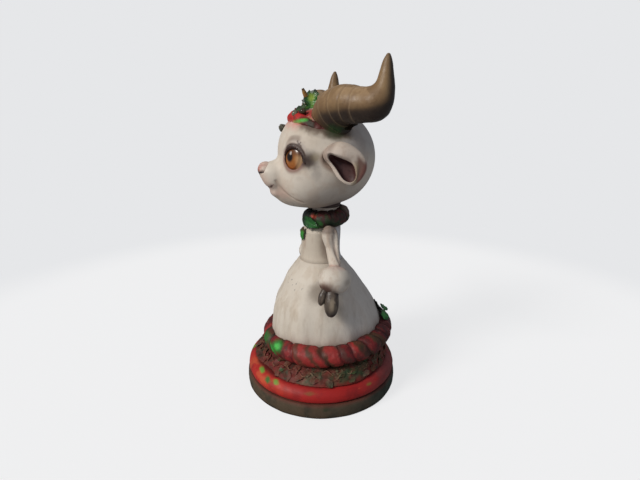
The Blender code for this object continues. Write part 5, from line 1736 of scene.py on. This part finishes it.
points, faces = sweep(np.array(rows), 44, crumple)
points = points + (unit(points - CROWN_FROM)
                   * (1.5 * (layered_noise(points, 3.2, 171, 4) - 0.5))[:, None])
paint = build("crown_band_crumpled", (points, faces), "head", "crown_garland",
              GARLAND_PAINT, (196, 40, 36))
paint.mottles(
    (LIGHT_RED, 0.35, 0.55, 0.7, 3.2, 172),
    (DARK_RED, 0.7, 0.46, 0.32, 3.2, 172))
outer = ease(15.5, 20.5, paint.folded[:, 0] - 0.25 * paint.y)
paint.over((64, 30, 24), outer * 0.9)
paint.mottles(((48, 44, 26), outer * 0.9, 0.45, 0.6, 3.0, 173, 3))
paint.blots(
    ((30, 88, 36), outer * 0.9, (24.0, 4.0, 165.0), (4.2, 3.4, 3.4), 0.5, 0.4, 1.8, 174),
    ((40, 44, 24), 0.85, (10.0, -19.0, 171.0), (2.2, 2.0, 1.7), 0.5, 0.4, 1.4, 175),
    ((128, 136, 112), 0.75, (5.2, -22.0, 168.6), (1.9, 1.8, 1.5), 0.5, 0.4, 1.4, 176))
paint.strokes((LIGHT_GREEN, 0.9, [(8.0, -19.4, 167.6), (13.0, -16.4, 168.6), (17.6, -12.0, 170.4)],
               1.1, 0.6, 0.5))
paint.blots((GREEN, 0.8, (-8.0, -20.6, 170.6), (2.6, 2.2, 2.0), 0.5, 0.4, 1.4, 177, False))
paint.over((222, 150, 138),
           fade(0.0, 1.5, np.abs(head_base(paint.points))) * (1 - outer) * 0.45)
# painted shade: grey over the part of the band behind the horns, like the shaded back of the head
paint.over((132, 124, 120), ease(9, 14, paint.y) * 0.85)
paint.store()

# --- crown leaves ----------------------------------------------------------------------
paint = build_leaf(
    "crown_leaf_tall_holly", "head", "crown_leaf_tall",
    ((36, 108, 40), DARK_GREEN, (128, 170, 62)), seed=11,
    base=(3.0, -7.8, 172.6), tip=(3.3, -3.8, 185.8), normal=(0.8, -0.55, 0.1), width=9.4,
    curl=0.05, cup=0.35, spine=0.62, wave=0.07, rows=72, columns=20)
# painted highlight in yellow-green near the top, and painted shade in black-green on the far half
paint.blots(
    ((168, 196, 74), 0.75, (3.6, -6.6, 181.6), (1.8, 1.8, 2.0), 0.6, 0.3, 1.2, 181, False),
    (BLACK_GREEN, 0.8, (3.6, -2.6, 182.0), (2.4, 1.8, 4.0), 0.5, 0.3, 1.2, 182, False))
paint.over(BLACK_GREEN, ease(183.4, 185.0, paint.z) * 0.85)
paint.store()

build_leaf(
    "crown_leaf_dark_holly", "head", "crown_leaf_dark",
    ((26, 58, 28), BLACK_GREEN, (60, 96, 48)), seed=12,
    base=(-3.2, -8.4, 172.4), tip=(-3.4, -5.4, 185.6), normal=(0.6, -0.75, 0.2), width=7.4,
    curl=0.07, cup=0.3, spine=0.6, wave=0.06, rows=60, columns=18).store()

build_leaf(
    "crown_leaf_low_holly", "head", "crown_leaf_low",
    ((38, 62, 30), (24, 34, 20), (92, 110, 62)), seed=13,
    base=(1.4, -17.4, 171.8), tip=(5.4, -9.4, 177.0), normal=(0.3, -0.7, 0.65), width=6.4,
    curl=0.04, cup=0.3, spine=0.5, wave=0.05, rows=54, columns=16).store()

mesh, vein, _ = holly((24.6, 4.4, 165.2), (22.6, 15.2, 168.8), (0.75, 0.1, 0.65), 7.8, rows=48,
                      columns=16, thick=1.2, curl=0.12, cup=0.4, spines=2, spine=0.35, wave=0.04,
                      fold=0.4)
for side, sign in SIDES:
    paint = build("crown_curl_holly_" + side, mesh, "head", "crown_curl_" + side,
                  LEAF_PAINT, (74, 52, 36), sharp=70, sign=sign)
    paint.mottles(
        ((36, 40, 24), 0.8, 0.45, 0.62, 2.4, 183, 3),
        ((152, 134, 112), ease(10.5, 14.5, paint.y) * 0.7, 0.4, 0.6, 1.8, 184, 3))
    paint.over((28, 84, 34), fade(4.5, 8.5, paint.y) * 0.75)
    paint.over((150, 128, 104), vein * 0.35)
    paint.store()


# --- crown twig: knotty stem with two short side shoots --------------------------------
def bark(share, angles):
    return (1 + 0.12 * np.sin(4 * angles + 9 * share) * (1 - share)
            + 0.10 * np.exp(-(((share * 4.2) % 1 - 0.5) / 0.12) ** 2))


shells = Shells()
shells.add(sweep(spline(((0.0, -8.2, 173.0, 1.7), (0.0, -7.8, 177.0, 1.6), (0.0, -8.2, 180.0, 1.45),
                         (0.0, -9.5, 183.4, 1.25), (0.0, -10.8, 186.4, 0.7)), 12), 22, bark))
for start, direction, length in (((0.0, -8.8, 179.2), (0.5, -0.5, 0.8), 2.6),
                                 ((0.0, -9.6, 182.4), (-0.6, -0.2, 0.75), 2.0)):
    shells.add(sweep(straight(start, direction, np.linspace(0, length, 10),
                              np.linspace(0.55, 0.16, 10)), 12))
paint = build("crown_twig_bark", shells.mesh(), "head", "crown_twig", TWIG_PAINT,
              (150, 106, 52))
paint.mottles(((196, 150, 74), 0.7, 0.45, 0.6, 1.8, 185, 3, (1, 1, 0.5)))
paint.over((52, 36, 26), ease(184.0, 186.2, paint.z) * 0.9)
paint.over((60, 34, 24), fade(176.5, 179.5, paint.z) * 0.85)
paint.store()


# --- crown berries: lobed balls with a dimple and a stub stem --------------------------
def berry_warp(directions):
    x, y, z = directions.T
    return (1 - 0.16 * np.exp(-((z - 0.8 * y - 1.25) / 0.10) ** 2)
            + 0.03 * np.sin(5 * np.arctan2(y, x)) * (1 - z ** 2))


CROWN_BERRIES = (   # centre, radius, base colour, mottling colour
    ((-7.6, -13.0, 174.0), 1.9, (178, 30, 28), (110, 18, 20)),
    ((6.4, -16.6, 172.6), 1.9, (120, 122, 98), (84, 44, 36)),
    ((9.6, -12.6, 173.8), 1.8, (66, 56, 32), (40, 40, 24)))
for i, (centre, radius, base, mottling) in enumerate(CROWN_BERRIES):
    shells = Shells("stem")
    shells.add(ball(centre, radius, 40, 28, warp=berry_warp))
    stem = straight(centre, np.array(centre) - (0, -2, 150),
                    np.linspace(radius * 0.75, radius * 1.12, 6),
                    (0.34, 0.34, 0.32, 0.34, 0.42, 0.30))
    shells.add(sweep(stem, 10), 1.0)
    attrs = shells.attrs()
    paint = build("crown_berry_round_%d" % (i + 1), shells.mesh(), "head",
                  "crown_berry_%d" % (i + 1), BERRY_PAINT, base, attrs=attrs)
    paint.mottles((mottling, 0.5, 0.5, 0.7, 1.6, 186 + i, 3))
    paint.over((40, 24, 16), attrs["stem"] * 0.9)
    paint.store()

# --- little cone on the brow: overlapping scales round a core --------------------------
CONE_CENTRE = np.array((-3.8, -22.1, 164.6))
CONE_AXIS = unit((-0.15, -0.75, 0.6))
CONE_SIDE = unit(np.cross(CONE_AXIS, (1, 0, 0)))
CONE_CROSS = np.cross(CONE_AXIS, CONE_SIDE)
CONE_ROWS = ((-1.5, 1.5, 7), (-0.7, 1.95, 8), (0.2, 1.95, 8), (1.0, 1.6, 7),
             (1.7, 1.05, 5))     # height, radius, scales
shells = Shells("tip")
shells.add(ball(CONE_CENTRE, (1.9, 1.9, 2.4), 24, 18, axes=(CONE_SIDE, CONE_CROSS, CONE_AXIS)))
for row, (height, radius, count) in enumerate(CONE_ROWS):
    for i in range(count):
        angle = TURN * (i + 0.5 * (row % 2)) / count
        outward = math.cos(angle) * CONE_SIDE + math.sin(angle) * CONE_CROSS
        centre = CONE_CENTRE + height * CONE_AXIS + outward * radius
        mesh = ball(centre, (0.78, 0.42, 0.85), 12, 8,
                    axes=(np.cross(outward, CONE_AXIS), unit(outward + 0.35 * CONE_AXIS),
                          unit(CONE_AXIS - 0.35 * outward)))
        shells.add(mesh, np.clip(((mesh[0] - centre) @ CONE_AXIS) / 0.8, 0, 1))
attrs = shells.attrs()
paint = build("brow_cone_scales", shells.mesh(), "head", "brow_cone", CONE_PAINT,
              (84, 82, 70), attrs=attrs)
paint.mottles(((48, 46, 40), 0.7, 0.45, 0.65, 1.6, 190, 3))
paint.over((136, 130, 112), attrs["tip"] * 0.5)
paint.store()

# ======================================================================================
# arms, shaped for the left side; rows are x, y, z, radius
# ======================================================================================
SLEEVE_LINE = spline((
    (17.2, .4, 107.0, 1.4), (17.2, .4, 106.2, 3.2), (17.2, .5, 104.2, 4.2),
    (17.3, 0.9, 101.5, 4.15), (18.2, 1.9, 97, 3.65), (20.6, 2.3, 91, 3.45),
    (23.6, 2.6, 85.8, 3.3), (25.8, 2.7, 82.0, 3.2), (27.4, 2.6, 79.6, 3.0)), 4)
HOOF_LINE = spline((
    (31.2, -.1, 77.2, 2.6), (31.8, -.6, 75.4, 3.4), (33.0, -1.8, 71.6, 4.1),
    (34.8, -2.4, 67.0, 4.3), (36, -2.8, 63.4, 3.4), (36.6, -3.0, 61.2, 1.5)), 4)
TOE_LINE = spline((
    (31.2, -4.7, 76.0, 1.7), (31.6, -5.4, 74.8, 2), (32.6, -7.2, 71.8, 2.3),
    (33.4, -8.1, 69, 2), (33.8, -8.5, 67.2, .8)), 4)
SHOULDER_Z = 104.0
CUFF_CENTRE = np.array((29.2, 1.1, 79.6))


def sleeve_field(points):
    x, y, z = points[..., 0], points[..., 1], points[..., 2]
    solid = tube(points, SLEEVE_LINE)
    solid = merge(solid, tube(points, [
        (16.6, 3.6, 105.6, 1.8), (16.6, 4.0, 102.5, 2.3), (17.4, 4.0, 97.0, 2.0),
        (19.6, 3.8, 91.0, 1.6)]), 2.5)
    # two long folds twisting down the sleeve, the groove between them, and a crease
    solid = merge(solid, tube(points, [
        (20.2, -1.4, 104.0, 0.5), (21.0, -0.1, 98.5, 0.8), (23.0, 2.2, 92.5, 0.75),
        (26.0, 4.4, 86.5, 0.5)]), 1.3)
    solid = merge(solid, tube(points, [
        (19.4, 4.4, 106.0, 0.6), (20.4, 4.6, 100, 0.95), (22.4, 4.6, 93.5, 0.9),
        (24.2, 5.4, 88, 0.5)]), 1.3)
    solid = carve(solid, tube(points, [
        (21.6, 2.2, 103.4, 0.15), (22.2, 2.8, 98.5, 0.28), (23.7, 3.6, 93.5, 0.25),
        (25.8, 4.6, 89.5, 0.12)]), 1.2)
    solid = carve(solid, tube(points, [
        (14.5, -3.0, 92.5, 0.3), (17.4, -2.4, 91.6, 0.4), (20.0, -1.6, 91.8, 0.3)]), 0.8)
    # bore for the shoulder bush
    bore = np.maximum(np.sqrt(y ** 2 + (z - SHOULDER_Z) ** 2) - 2.3, x - 19.2)
    return np.maximum(np.maximum(solid, -bore), 12.75 - x)


def cuff_field(points):
    offset = points - CUFF_CENTRE
    angle, height = np.arctan2(offset[..., 1], offset[..., 0]), offset[..., 2]
    pucker = (0.07 * np.sin(5 * angle + 0.6) * ease(1.0, 5.5, height)
              + 0.05 * np.sin(7 * angle) * ease(-2, -6, height))
    solid = ellipsoid(points, CUFF_CENTRE, (8.6, 9.8, 8.4)) - pucker
    # gathered neck where the sleeve enters, dimple where the hoof leaves
    solid = carve(solid, tube(points, [
        (22.0, 0.4, 84.0, 0.25), (24.2, -1.2, 87.0, 0.25), (27.8, -0.4, 88.4, 0.25),
        (29.0, 3.0, 88.1, 0.25), (27.0, 6.2, 87.0, 0.25)]), 1.2)
    solid = carve(solid, ellipsoid(points, (32.4, -1.8, 70.6), (4.6, 5.6, 1.9)), 1.2)
    return carve(solid, tube(points, [
        (26.0, -6.8, 75.4, 0.2), (30.4, -6.6, 74.0, 0.3), (33.6, -5.0, 73.4, 0.2)]), 1.6)


def hoof_field(points):
    solid = carve(tube(points, HOOF_LINE), tube(points, [
        (38.6, -4.8, 71.0, 0.35), (39.2, -5.2, 66.0, 0.5), (38.6, -5.4, 61.5, 0.4)]), 1.0)
    solid = merge(solid, tube(points, [
        (36.2, -1.0, 72.4, 0.9), (38.2, -2.2, 67.0, 1.0), (38.0, -3.2, 62.4, 0.7)]), 1.4)
    return np.maximum(solid, points[..., 2] - 76.5)


def toe_field(points):
    groove = tube(points, [(35.0, -8.4, 71.5, 0.2), (35.6, -9.2, 68.5, 0.3)])
    return carve(tube(points, TOE_LINE), groove, 0.7)


def paint_sleeve(paint):
    paint.mottles(((190, 164, 142), 0.5, 0.5, 0.7, 2.6, 201, 4, (1, 1, 0.3)))
    # painted shade in the groove between the two long folds
    paint.strokes(((150, 116, 98), 0.5, [(21.8, 1.6, 104.0), (22.2, 2.4, 98.5), (23.6, 3.4, 93.5),
                                         (26.0, 5.0, 89.5)], 1.0, 0.7, 0.3))
    paint.blots(((176, 118, 108), 0.6, (25.4, 2.8, 86.2), (5, 5.5, 1.5), 0.6, 0.3, 1.6, 202))
    # painted shade at the top, under the collar
    paint.over((96, 74, 64), ease(103.5, 106.5, paint.z) * 0.7)
    # painted shade on the inner side, facing the bodice
    paint.over((120, 92, 80), fade(13.5, 16.0, paint.folded[:, 0]) * 0.5)


def paint_cuff(paint):
    paint.mottles(((196, 176, 156), 0.45, 0.5, 0.7, 3.6, 203))
    # the third blot, grey-brown on the back, is painted shade
    paint.blots(
        ((100, 74, 62), 0.95, (31.6, -7.0, 75.8), (5.6, 4.0, 3.2), 0.6, 0.25, 2.0, 204),
        ((74, 54, 46), 0.8, (33.8, -3.6, 74.6), (4.4, 4.4, 1.8), 0.6, 0.3, 1.6, 205),
        ((150, 136, 120), 0.45, (36.0, 6.6, 80.4), (2.0, 2.4, 1.8), 0.7, 0.3, 1.6, 206),
        ((196, 150, 140), 0.5, (27.5, 2.6, 87.2), (5.0, 5.0, 1.3), 0.7, 0.3, 1.6, 207))
    # painted shade on the inner side, facing the gown
    paint.over((112, 94, 84), fade(23.0, 26.0, paint.folded[:, 0]) * 0.4)
    paint.blots(
        ((122, 94, 80), 0.75, (35.4, -5.4, 77.8), (3.6, 4.4, 3.2), 0.6, 0.25, 2.0, 211),
        ((86, 62, 54), 0.8, (35.0, -5.6, 76.6), (3.4, 4.0, 2.2), 0.6, 0.3, 1.8, 212))


def paint_hoof(paint):
    # painted highlight: a pale stroke down the front of the hoof
    paint.strokes(((150, 136, 116), 0.65, [(36.4, -1.6, 73.4), (38.4, -2.4, 69.6),
                                           (38.8, -2.8, 67)], 1.7, 0.7, 0.3))
    paint.mottles(((64, 52, 46), 0.7, 0.48, 0.66, 2.2, 208, 4, (1, 1, 0.3)))
    paint.over((40, 33, 33), fade(61.5, 66.0, paint.z) * 0.9)
    # painted shade at the top, where the hoof goes up under the cuff
    paint.over((52, 40, 36), ease(70.0, 73.5, paint.z) * 0.7)
    paint.over((58, 48, 44), fade(1.0, 4.0, paint.y + 7.0) * 0.6)


def paint_toe(paint):
    paint.mottles(((46, 38, 36), 0.7, 0.45, 0.65, 1.8, 209, 3))
    paint.blots(((126, 112, 96), 0.5, (35, -7, 71), (1.4, 1.4, 2.6), 0.7, 0.3, 1.6, 210))


ARM_PIECES = (      # name, CAD piece, mesh, slot, material, base colour, painter
    ("sleeve_folded_", "sleeve_", surface_net(sleeve_field, (12, -6, 76), (30, 9, 110.5), 0.42),
     "gown_paint", GOWN_PAINT, (222, 210, 195), paint_sleeve),
    ("cuff_puffed_", "cuff_", surface_net(cuff_field, (19, -9.5, 69.5), (39.5, 14, 89.5), 0.5),
     "gown_paint", GOWN_PAINT, (222, 212, 198), paint_cuff),
    ("hoof_shaped_", "hoof_", surface_net(hoof_field, (26, -9, 57), (41, 7, 77), 0.36),
     "hoof_paint", HOOF_PAINT, (112, 100, 86), paint_hoof),
    ("side_toe_shaped_", "side_toe_", surface_net(toe_field, (27, -12, 64), (38, -1, 78.5), 0.34),
     "hoof_paint", HOOF_PAINT, (88, 76, 66), paint_toe))
for side, sign in SIDES:
    for name, replaced, mesh, slot, material, base, painter in ARM_PIECES:
        paint = build(name + side, mesh, "arm_" + side, replaced + side, material, base,
                      sign=sign)
        painter(paint)
        paint.store()


# ======================================================================================
# carried-over hardware: turned brass, steel, beech pegs, felt, leather
# ======================================================================================
def metal(name, base, dark, rough=0.32):
    shader = Shader(name)
    turning = shader.noise(1800, stretch=(1, 1, 6))
    mid = shader.noise(260)
    scratches = shader.noise(4200, detail=3, rough=0.5, stretch=(0.1, 1, 1))
    colour = shader.mix(shader.mul(shader.step(mid, 0.45, 0.7), 0.55), srgb(*base), srgb(*dark))
    colour = shader.tint(shader.mul(shader.step(turning, 0.55, 0.75), 0.25), colour,
                         (0.75, 0.72, 0.68))
    colour = shader.tint(shader.mul(shader.pointiness(0.52, 0.60), 0.35), colour,
                         (1.25, 1.2, 1.15))
    roughness = shader.remap(mid, 0.3, 0.7, rough - 0.06, rough + 0.16)
    normal = shader.bump(shader.add(turning, scratches), 0.18, 0.0001)
    return shader.finish(colour, roughness, normal, metal=1.0)


def beech():
    shader = Shader("beech_peg_grain")
    grain = shader.noise(500, detail=5, stretch=(1, 1, 0.12), distort=0.8)
    colour = shader.mix(shader.step(grain, 0.38, 0.66), srgb(196, 158, 112), srgb(142, 104, 66))
    pores = shader.noise(2200, detail=3, rough=0.5, stretch=(1, 1, 0.1))
    colour = shader.tint(shader.mul(shader.step(pores, 0.55, 0.7), 0.4), colour, (0.6, 0.5, 0.4))
    return shader.finish(colour, shader.remap(grain, 0.3, 0.7, 0.5, 0.72),
                         shader.bump(grain, 0.4, 0.0002))


def felt():
    shader = Shader("felt_green_fibres")
    fibres = shader.noise(2400, detail=6, rough=0.75, distort=2.0)
    clumps = shader.noise(500)
    colour = shader.mix(shader.step(fibres, 0.35, 0.7), srgb(34, 58, 44), srgb(64, 92, 70))
    colour = shader.tint(shader.mul(shader.step(clumps, 0.45, 0.65), 0.4), colour,
                         (0.6, 0.62, 0.58))
    normal = shader.bump(shader.add(fibres, shader.mul(clumps, 0.5)), 0.9, 0.0004)
    return shader.finish(colour, 0.95, normal, spec=0.1, extra={"Sheen Weight": 0.6})


def leather():
    shader = Shader("leather_washer_grain")
    grain = shader.cells(1400, feature="DISTANCE_TO_EDGE")
    patches = shader.noise(300)
    colour = shader.mix(shader.step(patches, 0.35, 0.7), srgb(112, 68, 42), srgb(72, 42, 28))
    colour = shader.tint(shader.mul(shader.step(grain, 0.10, 0.02), 0.5), colour,
                         (0.5, 0.42, 0.36))
    return shader.finish(colour, shader.remap(patches, 0.3, 0.7, 0.55, 0.75),
                         shader.bump(shader.step(grain, 0.0, 0.14), 0.5, 0.0002))


def neck_cream():
    shader = Shader("neck_cream_turned")
    patches = shader.noise(300, detail=5)
    turning = shader.noise(1500, detail=3, stretch=(1, 1, 5))
    colour = shader.mix(shader.step(patches, 0.4, 0.7), srgb(220, 206, 190), srgb(188, 164, 146))
    colour = shader.tint(shader.mul(shader.step(turning, 0.5, 0.7), 0.35), colour,
                         (0.75, 0.66, 0.6))
    return shader.finish(colour, shader.remap(patches, 0.3, 0.7, 0.45, 0.65),
                         shader.bump(shader.add(turning, patches), 0.3, 0.0002))


BRASS = metal("brass_turned", base=(196, 160, 92), dark=(122, 92, 52))
STEEL = metal("steel_zinc_worn", base=(176, 178, 180), dark=(110, 108, 104), rough=0.36)
for material, pieces in (
        (beech(), ("horn_peg_left", "horn_peg_right")),
        (felt(), ("felt_pad",)),
        (leather(), ("head_washer",)),
        (neck_cream(), ("neck",)),
        (STEEL, ("tie_rod", "rod_washer", "shoulder_pin", "base_screw_1", "base_screw_2",
                 "base_screw_3")),
        (BRASS, ("rod_nut", "head_nut", "neck_bush", "shoulder_bush_left",
                 "shoulder_bush_right"))):
    for piece in pieces:
        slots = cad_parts[piece].data.materials
        slots.clear()
        slots.append(material)

# ======================================================================================
# studio: camera, light, floor (metres)
# ======================================================================================
scene = bpy.context.scene
scene.view_settings.view_transform = "Standard"

CAMERA_YAW = math.radians(76.2)
CAMERA_PITCH = math.radians(16.94)      # downwards
CAMERA_PLACE = np.array((246.47, -60.54, 172.87)) * MM
level = np.array((-math.sin(CAMERA_YAW), math.cos(CAMERA_YAW), 0.0))
vertical = np.array((0, 0, 1.0))
right = np.array((math.cos(CAMERA_YAW), math.sin(CAMERA_YAW), 0.0))
forward = level * math.cos(CAMERA_PITCH) - vertical * math.sin(CAMERA_PITCH)
upward = level * math.sin(CAMERA_PITCH) + vertical * math.cos(CAMERA_PITCH)
lens = bpy.data.cameras.new("view")
lens.lens = 23.4
lens.sensor_width = 36.0
lens.shift_x = -0.001625
lens.clip_start = 0.01
camera = bpy.data.objects.new("view", lens)
columns = np.stack([right, upward, -forward, CAMERA_PLACE], 1)
camera.matrix_world = Matrix([*columns.tolist(), [0, 0, 0, 1]])
scene.collection.objects.link(camera)
scene.camera = camera


def add_sun(name, towards, energy, spread, colour):
    """Sun standing in the given direction; spread is its angle in degrees."""
    light = bpy.data.lights.new(name, "SUN")
    light.energy = energy
    light.angle = math.radians(spread)
    light.color = colour
    sun = bpy.data.objects.new(name, light)
    direction = Vector(unit(towards))
    sun.location = direction * 1.2 + Vector((0, 0, 0.1))
    sun.rotation_euler = direction.to_track_quat("Z", "Y").to_euler()
    scene.collection.objects.link(sun)


add_sun("key", (0.27, -0.77, 0.57), energy=2.15, spread=20, colour=(1.0, 0.965, 0.92))
add_sun("fill", (0.92, 0.05, 0.45), energy=0.16, spread=60, colour=(0.93, 0.96, 1.0))

# world: pale to the camera, dim blue-grey as light
BACKDROP = srgb(230, 231, 233)
world = bpy.data.worlds.new("studio")
scene.world = world
world.use_nodes = True
tree = world.node_tree
light_path = tree.nodes.new("ShaderNodeLightPath")
mix = tree.nodes.new("ShaderNodeMix")
mix.data_type = "RGBA"
tree.links.new(light_path.outputs["Is Camera Ray"], mix.inputs[0])
mix.inputs[6].default_value = (0.185, 0.198, 0.225, 1)
mix.inputs[7].default_value = (*BACKDROP, 1)
tree.links.new(mix.outputs[2], tree.nodes["Background"].inputs["Color"])


def floor_material():
    """Mostly glowing pale floor that takes a faint shadow and fades into the backdrop."""
    pale = srgb(240.5, 240.8, 241.5)
    shader = Shader("floor_pale")
    place = shader.node("SeparateXYZ", {0: shader.coords}).outputs
    squared = shader.add(shader.mul(place[0], place[0]), shader.mul(place[1], place[1]))
    outward = shader.step(shader.calc("SQRT", squared), 0.30, 0.40)
    glow = shader.mix(outward, tuple(level * 0.83 for level in pale), BACKDROP)
    emission = shader.node("Emission", {"Color": glow})
    shade = shader.mix(outward, tuple(level * 0.26 for level in pale), (0.0, 0.0, 0.0))
    diffuse = shader.node("BsdfDiffuse", {"Color": shade})
    seen = shader.node("AddShader", {0: emission.outputs[0], 1: diffuse.outputs[0]})
    plain = shader.node("BsdfDiffuse", {"Color": (0.34, 0.34, 0.35)})
    both = shader.node("MixShader", {0: shader.node("LightPath").outputs["Is Camera Ray"],
                                     1: plain.outputs[0], 2: seen.outputs[0]})
    shader.put(shader.tree.nodes["Material Output"].inputs["Surface"], both.outputs[0])
    return shader.material


FLOOR_R = 2.2
FLOOR_SIDES = 128
data = bpy.data.meshes.new("floor")
corners = [TURN * i / FLOOR_SIDES for i in range(FLOOR_SIDES)]
data.from_pydata([(FLOOR_R * math.cos(a), FLOOR_R * math.sin(a), 0.0) for a in corners], [],
                 [tuple(range(FLOOR_SIDES))])
floor = bpy.data.objects.new("floor", data)
scene.collection.objects.link(floor)
data.materials.append(floor_material())
